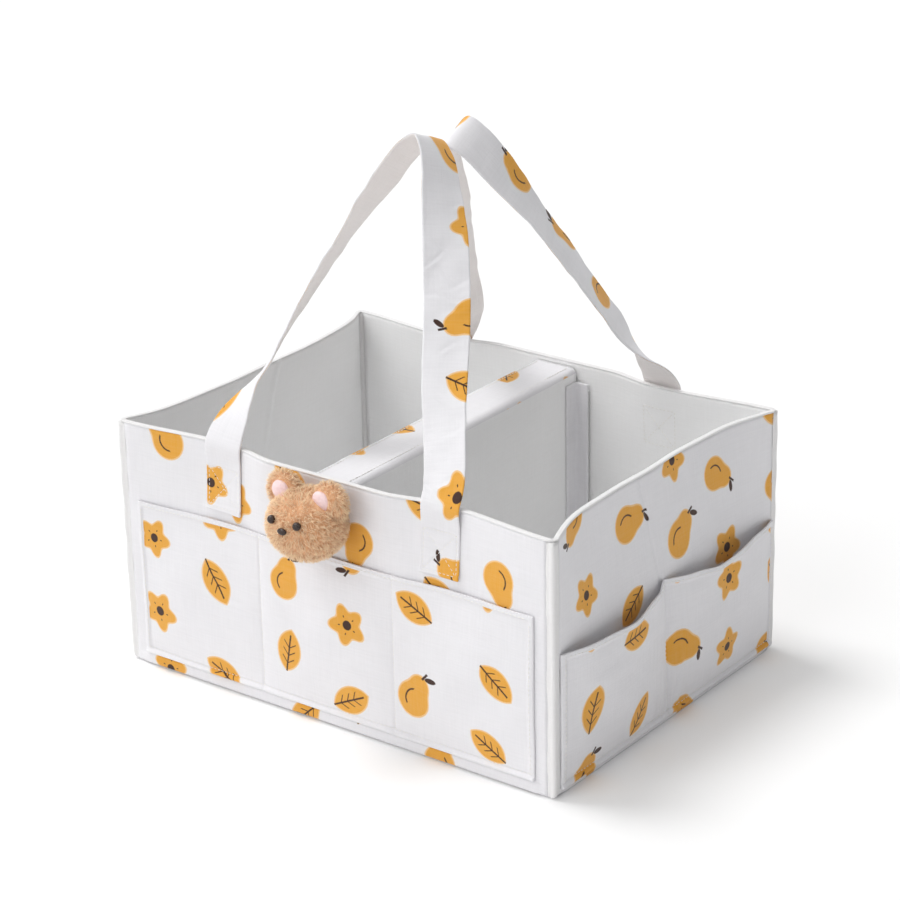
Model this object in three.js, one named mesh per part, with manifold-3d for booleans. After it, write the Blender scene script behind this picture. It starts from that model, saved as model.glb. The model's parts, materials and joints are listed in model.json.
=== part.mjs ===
// A soft open storage caddy: board-stiffened fabric walls with bound edges, outside pockets,
// two strap handles that swing on their seams, a lift-out divider and a plush head on the front.
// Millimetres, +Z up, front at -Y. The origin is the centre of the underside.

import * as THREE from 'three';
import { mergeVertices } from 'three/addons/utils/BufferGeometryUtils.js';
import Module from 'manifold-3d';

// Body
const bodyWidth = 380;
const bodyDepth = 280;
const bodyHeight = 190;
const gap = 0.3;
const weldDistance = 0.001;

// Layers of every wall, from outside in
const coverThickness = 0.8;
const wallBoardThickness = 1.6;
const liningThickness = 0.6;

// Layers of the floor, from below
const baseCoverThickness = 0.8;
const baseBoardThickness = 2.4;
const baseLiningThickness = 0.6;

// Bindings along the rim and up the corners
const bindingThickness = 0.5;
const bindingLeg = 3;
const cornerProud = 1.9;
const cornerDrop = 4;
const cornerRound = 2.2;
const cornerRoundSteps = 4;

// The walls are pulled in at the rim: the long ones by the handles, the end ones by their own slack
const handlePull = 8;
const endPull = 15;
const pullHeightPower = 2.4;
const endPullPower = 3.5;
const creaseGap = 2;
const gridSpacing = 44;

// Pockets sewn on outside: three along each long wall, two on each end
const longPocketInset = 16;
const longPocketBottom = 10;
const longPocketTop = 132;
const longPocketBulge = 7;
const longPocketCount = 3;
const endPocketInset = 6.2;
const endPocketBottom = 6;
const endPocketTop = 106;
const endPocketBulge = 10;
const endPocketCount = 2;
const pocketThickness = 0.8;
const pocketColumns = 6;
const pocketRowShares = [0, 0.12, 0.32, 0.6, 1];
const pocketFlatPower = 2.5;
const pocketRisePower = 2.2;

// Strap handles
const strapWidth = 32;
const strapThickness = 1.8;
const strapRise = 241;
const strapMeetGap = 4.6;
const strapOpenAngle = 165;
const strapOffset = 95;
const strapPatchLength = 50;
const strapSections = 56;
const strapKnuckleSteps = 3;
// Height and sideways offset of the strap's centre line, foot to apex, as shares of rise and offset
const strapRouteShares = [
  [0, 1], [0.06, 0.985], [0.284, 0.79], [0.564, 0.566], [0.832, 0.29], [0.963, 0.118], [1, 0],
];
// Turn of the strap about its own centre line along its length, in quarter turns
const strapTurnShares = [
  [0, 0], [0.12, 0.58], [0.3, 0.74], [0.45, 0.97], [0.75, 0.32], [0.92, 0.05], [1, 0],
];

// Divider: a folded panel of two legs and a flat top, with a hook-and-loop tab at each leg's ends
const dividerWidth = 38;
const dividerBelowRim = 4;
const dividerFold = 5;
const dividerFoldSteps = 4;
const dividerBoardThickness = 1.6;
const dividerBoardInset = 4;
const tabThickness = 0.8;
const tabBend = 3;
const tabReach = 8;
const tabLap = 10;
const tabBendSteps = 5;
const tabDrop = 10;
const hookThickness = 1;
const loopThickness = 0.8;
const stripWidth = 7;
const stripInset = 6;
const bowClearSpan = 48;

// Plush head
const headWidth = 58;
const headHeight = 51;
const headDepth = 52;
const headBackCutShare = 0.76;
const headBelowRim = 27;
const headSegments = 24;
const headRings = 16;
const earWidth = 28;
const earDepth = 15;
const earSpread = 21;
const earLift = 20;
const earSegments = 14;
const noseWidth = 7.5;
const noseHeight = 5;
const noseDepth = 4;
const noseLift = 3.5;
const noseTuck = 1.2;
const eyeWidth = 6;
const eyeSpread = 11;
const eyeLift = 9;
const eyeTuck = 1.4;
const overrun = 20;

const wallThickness = coverThickness + gap + wallBoardThickness + gap + liningThickness;
const wallBottom = baseCoverThickness + gap;
const wallTop = bodyHeight - bindingThickness - gap;
const legBottom = bodyHeight - bindingLeg;
const cornerWidth = wallThickness + cornerProud;
const bindingProud = gap + bindingThickness;
const dividerTop = bodyHeight - dividerBelowRim;
const headCentreHeight = bodyHeight - headBelowRim;
const floorTop = baseCoverThickness + gap + baseBoardThickness + gap + baseLiningThickness;

const wasm = await Module();
wasm.setup();

const caddy = new THREE.Group();

const finishes = {
  canvas: { color: 0xece9ee, roughness: 0.9, metalness: 0 },
  lining: { color: 0xe6e6e7, roughness: 0.9, metalness: 0 },
  binding: { color: 0xf2f1f3, roughness: 0.85, metalness: 0 },
  board: { color: 0xb8b3a8, roughness: 0.8, metalness: 0 },
  hookLoop: { color: 0xe6e6e4, roughness: 0.95, metalness: 0 },
  plush: { color: 0xd19a6b, roughness: 1, metalness: 0 },
  bead: { color: 0x2b1d18, roughness: 0.25, metalness: 0 },
};

function addMesh(group, name, geometry, finish) {
  const mesh = new THREE.Mesh(geometry, new THREE.MeshStandardMaterial(finishes[finish]));
  mesh.name = name;
  group.add(mesh);
  return mesh;
}

// Closed meshes to solids and back, for cuts and joins
function toSolid(geometry) {
  const bare = geometry.clone();
  bare.deleteAttribute('normal');
  bare.deleteAttribute('uv');
  const merged = mergeVertices(bare, weldDistance);
  return new wasm.Manifold(new wasm.Mesh({
    numProp: 3,
    vertProperties: new Float32Array(merged.attributes.position.array),
    triVerts: new Uint32Array(merged.index.array),
  }));
}

function toGeometry(solid) {
  const mesh = solid.getMesh();
  const geometry = new THREE.BufferGeometry();
  geometry.setAttribute('position', new THREE.BufferAttribute(new Float32Array(mesh.vertProperties), 3));
  geometry.setIndex(new THREE.BufferAttribute(new Uint32Array(mesh.triVerts), 1));
  geometry.computeVertexNormals();
  return geometry;
}

function geometryOf(points, triangles) {
  const places = points.flatMap((point) => point.toArray());
  const geometry = new THREE.BufferGeometry();
  geometry.setAttribute('position', new THREE.Float32BufferAttribute(places, 3));
  geometry.setIndex(triangles.flat());
  geometry.computeVertexNormals();
  return geometry;
}

// A loft through equal rings of points; the first and last ring are closed with flat caps.
// Each face is split from the lower corner of one ring to the upper corner of the next, as sheets are.
function loft(rings, outline) {
  const count = outline.length;
  const points = rings.flat();
  const triangles = [];
  for (let ring = 0; ring + 1 < rings.length; ring += 1) {
    for (let side = 0; side < count; side += 1) {
      const a = ring * count + side;
      const b = ring * count + ((side + 1) % count);
      if (points[a].z > points[b].z) triangles.push([a, b, a + count], [b, b + count, a + count]);
      else triangles.push([a, b, b + count], [a, b + count, a + count]);
    }
  }
  const lastRing = (rings.length - 1) * count;
  const clockwise = THREE.ShapeUtils.isClockWise(outline);
  for (const cap of THREE.ShapeUtils.triangulateShape(outline, [])) {
    const agrees = THREE.ShapeUtils.isClockWise(cap.map((corner) => outline[corner])) === clockwise;
    const [a, b, c] = agrees ? cap : [...cap].reverse();
    triangles.push([c, b, a], [a + lastRing, b + lastRing, c + lastRing]);
  }
  return geometryOf(points, triangles);
}

// Grid lines: all wanted places, and equal steps between those that lie far apart
function gridLines(places, step) {
  const sorted = [...places]
    .sort((a, b) => a - b)
    .filter((place, at, all) => at === 0 || place - all[at - 1] > gap);
  const lines = [sorted[0]];
  for (let at = 1; at < sorted.length; at += 1) {
    const steps = Math.ceil((sorted[at] - sorted[at - 1]) / step);
    for (let part = 1; part <= steps; part += 1) {
      lines.push(sorted[at - 1] + ((sorted[at] - sorted[at - 1]) * part) / steps);
    }
  }
  return lines;
}

function linesWithin(lines, low, high) {
  return lines.filter((line) => line > low - gap / 2 && line < high + gap / 2);
}

// A sheet between two surfaces over a grid. Both depths are measured outwards from the wall's flat plane.
function gridSheet(across, up, outerDepth, innerDepth) {
  const points = [];
  const columns = across.length;
  const layer = columns * up.length;
  for (const depth of [outerDepth, innerDepth]) {
    for (const z of up) {
      for (const x of across) points.push(new THREE.Vector3(x, -depth(x, z), z));
    }
  }
  const triangles = [];
  const quad = (a, b, c, d) => triangles.push([a, b, c], [a, c, d]);
  for (let row = 0; row + 1 < up.length; row += 1) {
    for (let column = 0; column + 1 < columns; column += 1) {
      const a = row * columns + column;
      quad(a, a + 1, a + 1 + columns, a + columns);
      triangles.push([layer + a, layer + a + 1 + columns, layer + a + 1]);
      triangles.push([layer + a, layer + a + columns, layer + a + 1 + columns]);
    }
  }
  for (let column = 0; column + 1 < columns; column += 1) {
    const top = (up.length - 1) * columns + column;
    quad(column + 1, column, column + layer, column + 1 + layer);
    quad(top, top + 1, top + 1 + layer, top + layer);
  }
  for (let row = 0; row + 1 < up.length; row += 1) {
    const left = row * columns;
    const right = left + columns - 1;
    quad(left, left + columns, left + columns + layer, left + layer);
    quad(right + columns, right, right + layer, right + columns + layer);
  }
  return geometryOf(points, triangles);
}

// How far a wall is pulled in at a place on its face
function longWallPull(x, z) {
  const reach = Math.abs(x) - strapOffset;
  const room = reach < 0 ? strapOffset - bowClearSpan : bodyWidth / 2 - strapOffset;
  const away = Math.min(1, Math.abs(reach) / room);
  return handlePull * (1 - away ** 2) ** 2 * (z / bodyHeight) ** pullHeightPower;
}

function endWallPull(x, z) {
  const share = Math.min(1, Math.abs(x) / (bodyDepth / 2));
  return endPull * (1 - share ** endPullPower) * (z / bodyHeight) ** pullHeightPower;
}

// Depth of a surface that follows the coarse grid's facets, read between its lines
function facetDepth(across, up, pull) {
  return (x, z) => {
    const column = Math.max(0, Math.min(across.length - 2, across.findLastIndex((line) => line <= x)));
    const row = Math.max(0, Math.min(up.length - 2, up.findLastIndex((line) => line <= z)));
    const s = (x - across[column]) / (across[column + 1] - across[column]);
    const t = (z - up[row]) / (up[row + 1] - up[row]);
    const low = pull(across[column], up[row]);
    const high = pull(across[column + 1], up[row + 1]);
    if (t < s) {
      const corner = pull(across[column + 1], up[row]);
      return low + s * (corner - low) + t * (high - corner);
    }
    const corner = pull(across[column], up[row + 1]);
    return low + t * (corner - low) + s * (high - corner);
  };
}

// One wall in its own frame, its outer face at y = -half: layers, rim binding and pocket sheet
function buildWall(wall) {
  const group = new THREE.Group();
  group.rotation.z = THREE.MathUtils.degToRad(wall.turn);
  caddy.add(group);
  const reach = wall.span / 2 - cornerWidth - gap;
  const pocketReach = wall.span / 2 - wall.pocket.inset;
  const places = [-reach, reach, -pocketReach, pocketReach, 0];
  for (let seam = 1; seam < wall.pocket.count; seam += 1) {
    places.push(-pocketReach + (2 * pocketReach * seam) / wall.pocket.count);
  }
  for (const place of wall.places) places.push(place, -place);
  const across = gridLines(places, gridSpacing);
  const { bottom, top } = wall.pocket;
  const up = gridLines([wallBottom, bottom, top, legBottom, wallTop], gridSpacing);
  const face = wall.half;
  const depthAt = (offset) => (x, z) => face + offset - wall.pull(x, z);

  const boardOut = -coverThickness - gap;
  const liningOut = boardOut - wallBoardThickness - gap;
  const cover = gridSheet(across, up, depthAt(0), depthAt(-coverThickness));
  addMesh(group, `${wall.name}_cover`, cover, 'canvas');
  for (const [name, low, high] of wall.boards(reach)) {
    const lines = gridLines([low, ...linesWithin(across, low + gap, high - gap), high], gridSpacing);
    const board = gridSheet(lines, up, depthAt(boardOut), depthAt(boardOut - wallBoardThickness));
    addMesh(group, name, board, 'board');
  }
  const lining = gridSheet(across, up, depthAt(liningOut), depthAt(-wallThickness));
  addMesh(group, `${wall.name}_lining`, lining, 'lining');

  // The rim binding is a folded strip over the wall's top edge
  const inside = -wallThickness - bindingProud;
  const legInner = bindingProud - bindingThickness;
  const farInner = inside + bindingThickness;
  const foldInner = bodyHeight - bindingThickness;
  const profile = [
    [bindingProud, legBottom], [bindingProud, bodyHeight], [inside, bodyHeight], [inside, legBottom],
    [farInner, legBottom], [farInner, foldInner], [legInner, foldInner], [legInner, legBottom],
  ];
  const outline = profile.map(([offset, z]) => new THREE.Vector2(-offset, z));
  const clockwise = THREE.ShapeUtils.isClockWise(outline);
  if (clockwise) {
    profile.reverse();
    outline.reverse();
  }
  const corner = (x, [offset, z]) => new THREE.Vector3(x, -depthAt(offset)(x, z), z);
  const rings = across.map((x) => profile.map((place) => corner(x, place)));
  addMesh(group, `${wall.name}_rim_binding`, loft(rings, outline), 'binding');

  buildPockets(group, wall, across, up, pocketReach);
  return group;
}

// Pockets are sewn down along their sides, bottom and inner seams, and stand off the wall between them
function buildPockets(group, wall, across, up, reach) {
  const { count, bottom, top, bulge, names } = wall.pocket;
  const rows = gridLines([...pocketRowShares.map((share) => bottom + share * (top - bottom)),
    ...linesWithin(up, bottom, top)], gridSpacing);
  const base = facetDepth(across, up, wall.pull);
  const standOff = (x, z) => {
    const place = ((x + reach) / (2 * reach)) * count;
    const seam = Math.abs(2 * (place - Math.floor(place)) - 1);
    const rise = 1 - (1 - Math.min(1, (z - bottom) / (top - bottom))) ** pocketRisePower;
    const flat = 1 - seam ** pocketFlatPower;
    return Math.max(0, bulge * flat * rise);
  };
  const inner = (x, z) => wall.half + gap + standOff(x, z) - base(x, z);
  const outer = (x, z) => inner(x, z) + pocketThickness;
  const seamAt = (seam) => -reach + (2 * reach * seam) / count;
  const perSheet = count / names.length;
  names.forEach((name, sheet) => {
    const first = sheet * perSheet;
    const last = first + perSheet;
    const low = seamAt(first) + (first === 0 ? 0 : gap / 2);
    const high = seamAt(last) - (last === count ? 0 : gap / 2);
    const columns = [low, high, ...linesWithin(across, low + gap, high - gap)];
    for (let at = 1; at < perSheet * pocketColumns; at += 1) {
      columns.push(seamAt(first + at / pocketColumns));
    }
    addMesh(group, name, gridSheet(gridLines(columns, gridSpacing), rows, outer, inner), 'canvas');
  });
}

const wholeBoard = (name) => (reach) => [[name, -reach + gap, reach - gap]];
const creasedBoards = (name) => (reach) => [
  [`${name}_near`, -reach + gap, -creaseGap / 2],
  [`${name}_far`, creaseGap / 2, reach - gap],
];
const longPocket = {
  inset: longPocketInset,
  bottom: longPocketBottom,
  top: longPocketTop,
  bulge: longPocketBulge,
  count: longPocketCount,
};
const endPocket = {
  inset: endPocketInset,
  bottom: endPocketBottom,
  top: endPocketTop,
  bulge: endPocketBulge,
  count: endPocketCount,
};
const strapEdges = [strapOffset - strapWidth / 2, strapOffset, strapOffset + strapWidth / 2];
const longWall = {
  span: bodyWidth,
  half: bodyDepth / 2,
  pull: longWallPull,
  places: [bowClearSpan, ...strapEdges],
};
const endWall = {
  span: bodyDepth,
  half: bodyWidth / 2,
  pull: endWallPull,
  places: [creaseGap / 2],
};
const longPockets = (name, places) => ({
  pocket: { ...longPocket, names: places.map((place) => `${name}_pocket_${place}`) },
});
const endPockets = (name) => ({ pocket: { ...endPocket, names: [`${name}_pockets`] } });
const frontPockets = longPockets('front', ['left', 'middle', 'right']);
const backPockets = longPockets('back', ['right', 'middle', 'left']);
const walls = [
  { ...longWall, name: 'front', turn: 0, ...frontPockets, boards: wholeBoard('front_board') },
  { ...endWall, name: 'right', turn: 90, ...endPockets('right'), boards: creasedBoards('right_board') },
  { ...longWall, name: 'back', turn: 180, ...backPockets, boards: wholeBoard('back_board') },
  { ...endWall, name: 'left', turn: 270, ...endPockets('left'), boards: creasedBoards('left_board') },
];
const wallGroups = Object.fromEntries(walls.map((wall) => [wall.name, buildWall(wall)]));

// Floor: cover, board and lining
function slab(width, depth, bottom, thickness) {
  const geometry = new THREE.BoxGeometry(width, depth, thickness);
  geometry.translate(0, 0, bottom + thickness / 2);
  return mergeVertices(stripped(geometry), weldDistance);
}

function stripped(geometry) {
  geometry.deleteAttribute('normal');
  geometry.deleteAttribute('uv');
  return geometry;
}

const floorInset = cornerWidth + gap;
const floorWidth = bodyWidth - 2 * floorInset;
const floorDepth = bodyDepth - 2 * floorInset;
const baseLiningBottom = floorTop - baseLiningThickness;
const baseBoard = slab(floorWidth, floorDepth, baseCoverThickness + gap, baseBoardThickness);
const baseLining = slab(floorWidth, floorDepth, baseLiningBottom, baseLiningThickness);
addMesh(caddy, 'base_cover', slab(bodyWidth, bodyDepth, 0, baseCoverThickness), 'canvas');
addMesh(caddy, 'base_board', baseBoard, 'board');
addMesh(caddy, 'base_lining', baseLining, 'lining');

// Corner bindings: a square post with its outer edge rounded, one at each corner
function buildCorner(name, sideX, sideY) {
  const shape = new THREE.Shape();
  shape.moveTo(-cornerWidth, -cornerWidth);
  shape.lineTo(0, -cornerWidth);
  shape.lineTo(0, -cornerRound);
  shape.absarc(-cornerRound, -cornerRound, cornerRound, 0, Math.PI / 2, false);
  shape.lineTo(-cornerWidth, 0);
  const height = bodyHeight - cornerDrop - wallBottom;
  const geometry = new THREE.ExtrudeGeometry(shape, {
    depth: height, bevelEnabled: false, steps: 1, curveSegments: cornerRoundSteps,
  });
  const corner = addMesh(caddy, name, mergeVertices(stripped(geometry), weldDistance), 'binding');
  corner.position.set((sideX * bodyWidth) / 2, (sideY * bodyDepth) / 2, wallBottom);
  corner.rotation.z = Math.atan2(sideY, sideX) - Math.PI / 4;
}

buildCorner('corner_binding_front_right', 1, -1);
buildCorner('corner_binding_back_right', 1, 1);
buildCorner('corner_binding_back_left', -1, 1);
buildCorner('corner_binding_front_left', -1, -1);

// Strap handles. The strap's foot turns on a line along the rim, just outside the binding.
// The two straps lean together until their edges almost meet over the middle.
const leastPull = Math.min(...strapEdges.map((edge) => longWallPull(edge, bodyHeight)));
const rimOut = bodyDepth / 2 + bindingProud - leastPull;
const footStandOff = gap + strapThickness / 2;
const strapReach = Math.hypot(strapRise, strapWidth / 2);
const lean = Math.asin((rimOut + footStandOff - strapMeetGap / 2) / strapReach)
  - Math.atan2(strapWidth / 2, strapRise);
const hingeOut = rimOut + footStandOff / Math.cos(lean);
const shutAngle = Math.PI + lean - THREE.MathUtils.degToRad(strapOpenAngle);
const patchDrop = ((strapThickness / 2) * (1 + Math.cos(shutAngle)) + gap) / Math.sin(shutAngle);

function shareAt(table, place) {
  const last = table.findLastIndex(([at]) => at <= place);
  const from = table[Math.min(last, table.length - 2)];
  const to = table[Math.min(last, table.length - 2) + 1];
  return from[1] + (to[1] - from[1]) * THREE.MathUtils.smoothstep(place, from[0], to[0]);
}

function strapGeometry() {
  const placeOf = (side, [height, out]) =>
    new THREE.Vector3(side * out * strapOffset, 0, height * strapRise);
  const rising = strapRouteShares.map((share) => placeOf(-1, share));
  const falling = strapRouteShares.slice(0, -1).reverse().map((share) => placeOf(1, share));
  const route = new THREE.CatmullRomCurve3([...rising, ...falling], false, 'centripetal');
  const faceOut = new THREE.Vector3(0, -1, 0);
  const rings = [];
  const addRing = (centre, wide, thin, half) => {
    const edge = (w) => centre.clone().addScaledVector(wide, (w * strapWidth) / 2);
    const corner = (w, t) => edge(w).addScaledVector(thin, t * half);
    rings.push([corner(-1, -1), corner(-1, 1), corner(1, 1), corner(1, -1)]);
  };
  // Each foot ends in a half round on the hinge line
  const knuckle = (x, side) => {
    const wide = new THREE.Vector3(side, 0, 0);
    const steps = [];
    for (let step = 0; step < strapKnuckleSteps; step += 1) {
      const angle = (Math.PI / 2) * (1 - (step + 1 / 2) / strapKnuckleSteps);
      steps.push([-Math.sin(angle) * (strapThickness / 2), Math.cos(angle) * (strapThickness / 2)]);
    }
    return steps.map(([drop, half]) => [new THREE.Vector3(x, 0, drop), wide, half]);
  };
  for (const [centre, wide, half] of knuckle(-strapOffset, 1)) addRing(centre, wide, faceOut, half);
  for (let section = 0; section <= strapSections; section += 1) {
    const along = section / strapSections;
    const centre = route.getPointAt(along);
    const tangent = route.getTangentAt(along);
    const turn = (shareAt(strapTurnShares, along) * Math.PI) / 2;
    const flat = new THREE.Vector3().crossVectors(tangent, faceOut);
    if (section === 0) flat.set(1, 0, 0);
    if (section === strapSections) flat.set(-1, 0, 0);
    const wide = flat.multiplyScalar(Math.cos(turn)).addScaledVector(faceOut, Math.sin(turn)).normalize();
    const ahead = section === 0 ? new THREE.Vector3(0, 0, 1) : tangent;
    const rest = section === strapSections ? new THREE.Vector3(0, 0, -1) : ahead;
    const thin = new THREE.Vector3().crossVectors(wide, rest).normalize();
    addRing(centre, wide, thin, strapThickness / 2);
  }
  const lastKnuckle = knuckle(strapOffset, -1).reverse();
  for (const [centre, wide, half] of lastKnuckle) addRing(centre, wide, faceOut, half);
  const outline = [[-1, -1], [-1, 1], [1, 1], [1, -1]].map(([w, t]) => new THREE.Vector2(w, t));
  return loft(rings, outline);
}

function buildHandle(name, turn) {
  const side = new THREE.Group();
  side.rotation.z = turn;
  const hinge = new THREE.Group();
  hinge.position.set(0, -hingeOut, bodyHeight);
  hinge.rotation.x = -lean;
  side.add(hinge);
  caddy.add(side);
  addMesh(hinge, name, strapGeometry(), 'canvas');
}

buildHandle('front_handle', 0);
buildHandle('back_handle', Math.PI);

// The strap's sewn ends on the wall, below the hinge line
for (const [wallName, wall] of [['front', walls[0]], ['back', walls[2]]]) {
  for (const [sideName, side] of [['left', -1], ['right', 1]]) {
    const across = strapEdges.map((edge) => side * edge).sort((a, b) => a - b);
    const up = gridLines([bodyHeight - strapPatchLength, legBottom, bodyHeight - patchDrop], gridSpacing);
    const base = wall.pull;
    const inner = (x, z) => wall.half + bindingProud + gap - base(x, z);
    const outer = (x, z) => inner(x, z) + strapThickness;
    const patch = gridSheet(across, up, outer, inner);
    addMesh(wallGroups[wallName], `${wallName}_strap_patch_${sideName}`, patch, 'canvas');
  }
}

// Divider: legs and top as one folded profile, cut to the wall's inside
const dividerBottom = floorTop + gap;
const loopFace = wallThickness + gap + loopThickness;
const dividerEnd = bodyDepth / 2 - loopFace - gap;

function foldedProfile(halfWidth, top, thickness, round) {
  const shape = new THREE.Shape();
  shape.moveTo(halfWidth, dividerBottom);
  shape.lineTo(halfWidth, top - round);
  shape.absarc(halfWidth - round, top - round, round, 0, Math.PI / 2, false);
  shape.lineTo(-halfWidth + round, top);
  shape.absarc(-halfWidth + round, top - round, round, Math.PI / 2, Math.PI, false);
  shape.lineTo(-halfWidth, dividerBottom);
  shape.lineTo(-halfWidth + thickness, dividerBottom);
  const inner = Math.max(round - thickness, gap);
  shape.lineTo(-halfWidth + thickness, top - thickness - inner);
  shape.absarc(-halfWidth + thickness + inner, top - thickness - inner, inner, Math.PI, Math.PI / 2, true);
  shape.lineTo(halfWidth - thickness - inner, top - thickness);
  shape.absarc(halfWidth - thickness - inner, top - thickness - inner, inner, Math.PI / 2, 0, true);
  shape.lineTo(halfWidth - thickness, dividerBottom);
  return shape;
}

function foldedPanel(halfWidth, top, thickness, round) {
  const geometry = new THREE.ExtrudeGeometry(foldedProfile(halfWidth, top, thickness, round), {
    depth: 2 * dividerEnd, bevelEnabled: false, steps: 1, curveSegments: dividerFoldSteps,
  });
  geometry.rotateX(Math.PI / 2);
  geometry.translate(0, dividerEnd, 0);
  return mergeVertices(stripped(geometry), weldDistance);
}

const layerStep = coverThickness + gap;
const liningStep = layerStep + dividerBoardThickness + gap;
const dividerCover = foldedPanel(dividerWidth / 2, dividerTop, coverThickness, dividerFold);
addMesh(caddy, 'divider_cover', dividerCover, 'canvas');
const liningHalf = dividerWidth / 2 - liningStep;
const liningFold = Math.max(dividerFold - liningStep, gap + liningThickness);
const dividerLining = foldedPanel(liningHalf, dividerTop - liningStep, liningThickness, liningFold);
addMesh(caddy, 'divider_lining', dividerLining, 'lining');
const boardDepth = 2 * (dividerEnd - dividerBoardInset);
for (const [name, side] of [['left', -1], ['right', 1]]) {
  const height = dividerTop - dividerFold - dividerBottom - dividerBoardInset;
  const leg = new THREE.BoxGeometry(dividerBoardThickness, boardDepth, height);
  leg.translate(side * (dividerWidth / 2 - layerStep - dividerBoardThickness / 2), 0,
    dividerBottom + dividerBoardInset / 2 + height / 2);
  addMesh(caddy, `divider_board_${name}`, mergeVertices(stripped(leg), weldDistance), 'board');
}
const topBoard = new THREE.BoxGeometry(dividerWidth - 2 * dividerFold, boardDepth, dividerBoardThickness);
topBoard.translate(0, 0, dividerTop - layerStep - dividerBoardThickness / 2);
addMesh(caddy, 'divider_board_top', mergeVertices(stripped(topBoard), weldDistance), 'board');

// End tabs bend from each leg outwards along the wall. Hook strips on them meet loop strips on the lining.
function tabShape() {
  const start = dividerWidth / 2 + gap;
  const wallFace = bodyDepth / 2 - tabFaceOut;
  const bendOuter = tabBend + tabThickness / 2;
  const bendInner = tabBend - tabThickness / 2;
  const centreX = start + bendOuter;
  const centreY = wallFace - bendOuter;
  const shape = new THREE.Shape();
  shape.moveTo(start, centreY - tabLap);
  shape.lineTo(start, centreY);
  shape.absarc(centreX, centreY, bendOuter, Math.PI, Math.PI / 2, true);
  shape.lineTo(centreX + tabReach, wallFace);
  shape.lineTo(centreX + tabReach, wallFace - tabThickness);
  shape.lineTo(centreX, wallFace - tabThickness);
  shape.absarc(centreX, centreY, bendInner, Math.PI / 2, Math.PI, false);
  shape.lineTo(start + tabThickness, centreY - tabLap);
  return shape;
}

const tabFaceOut = loopFace + gap + hookThickness + gap;
const tabBottom = dividerBottom + tabDrop;
const tabHeight = dividerTop - tabDrop - tabBottom;
const stripHeight = tabHeight - 2 * stripInset;
const stripCentre = dividerWidth / 2 + gap + tabBend + tabThickness / 2 + tabReach / 2;

function strip(name, centreX, sideY, width, outFace, thickness) {
  const geometry = new THREE.BoxGeometry(width, thickness, stripHeight);
  const centreY = sideY * (bodyDepth / 2 - outFace + thickness / 2);
  geometry.translate(centreX, centreY, tabBottom + tabHeight / 2);
  addMesh(caddy, name, mergeVertices(stripped(geometry), weldDistance), 'hookLoop');
}

for (const [endName, sideY] of [['front', -1], ['back', 1]]) {
  for (const [sideName, sideX] of [['left', -1], ['right', 1]]) {
    const geometry = new THREE.ExtrudeGeometry(tabShape(), {
      depth: tabHeight, bevelEnabled: false, steps: 1, curveSegments: tabBendSteps,
    });
    const tab = toSolid(geometry).translate([0, 0, tabBottom]);
    const placed = tab.transform([sideX, 0, 0, 0, 0, sideY, 0, 0, 0, 0, 1, 0, 0, 0, 0, 1]);
    addMesh(caddy, `divider_tab_${endName}_${sideName}`, toGeometry(placed), 'canvas');
    const hookName = `divider_hook_strip_${endName}_${sideName}`;
    strip(hookName, sideX * stripCentre, sideY, stripWidth, loopFace + gap + hookThickness, hookThickness);
  }
  strip(`wall_loop_panel_${endName}`, 0, sideY, 2 * stripCentre + stripWidth, loopFace, loopThickness);
}

// Plush head: swelling forms, each cut by the larger one it is sewn to
function ellipsoid(width, depth, height, centre, segments, rings, swell = 0) {
  const geometry = new THREE.SphereGeometry(1 / 2, segments, rings);
  geometry.rotateX(Math.PI / 2);
  geometry.scale(width + 2 * swell, depth + 2 * swell, height + 2 * swell);
  geometry.translate(...centre);
  return toSolid(geometry);
}

const headBack = bodyDepth / 2 + gap;
const headCentre = [0, -(headBack + (headDepth / 2) * headBackCutShare), headCentreHeight];
const headForm = (swell) =>
  ellipsoid(headWidth, headDepth, headHeight, headCentre, headSegments, headRings, swell);
const wallBlock = new THREE.BoxGeometry(bodyWidth, 2 * headBack, 2 * (bodyHeight + overrun));
const rimBlock = new THREE.BoxGeometry(bodyWidth, 2 * (headBack + bindingProud), 2 * (bindingLeg + gap));
const behind = toSolid(wallBlock).add(toSolid(rimBlock.translate(0, 0, bodyHeight)));
addMesh(caddy, 'plush_head', toGeometry(headForm(0).subtract(behind)), 'plush');

const earHeight = headCentreHeight + earLift;
const earCentre = (side) => [side * earSpread, headCentre[1] + earDepth / 2, earHeight];
for (const [name, side] of [['left', -1], ['right', 1]]) {
  const ear = ellipsoid(earWidth, earDepth, earWidth, earCentre(side), earSegments, earSegments);
  addMesh(caddy, `plush_ear_${name}`, toGeometry(ear.subtract(headForm(gap)).subtract(behind)), 'plush');
}

// Depth of the head's front at a place on it, for what is sewn on there
function headFrontAt(x, z) {
  const share = Math.sqrt(1 - (2 * x / headWidth) ** 2 - (2 * z / headHeight) ** 2);
  return headCentre[1] - (headDepth / 2) * share;
}

const noseCentre = [0, headFrontAt(0, noseLift) + noseTuck - noseDepth / 2, headCentreHeight + noseLift];
const nose = ellipsoid(noseWidth, noseDepth, noseHeight, noseCentre, earSegments, earSegments);
addMesh(caddy, 'plush_nose', toGeometry(nose.subtract(headForm(gap))), 'bead');
const eyeY = headFrontAt(eyeSpread, eyeLift) + eyeTuck - eyeWidth / 2;
for (const [name, side] of [['left', -1], ['right', 1]]) {
  const centre = [side * eyeSpread, eyeY, headCentreHeight + eyeLift];
  const eye = ellipsoid(eyeWidth, eyeWidth, eyeWidth, centre, earSegments, earSegments);
  addMesh(caddy, `plush_eye_${name}`, toGeometry(eye.subtract(headForm(gap))), 'bead');
}

export default caddy;
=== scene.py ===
# Looks of a soft open storage caddy: printed canvas over boards, bound edges, outside pockets,
# two strap handles, a lift-out divider and a plush head on the front. Metres, front at -Y.

import json
import math
import random

import bmesh
import bpy
import numpy as np
from mathutils import Matrix, Vector

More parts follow.
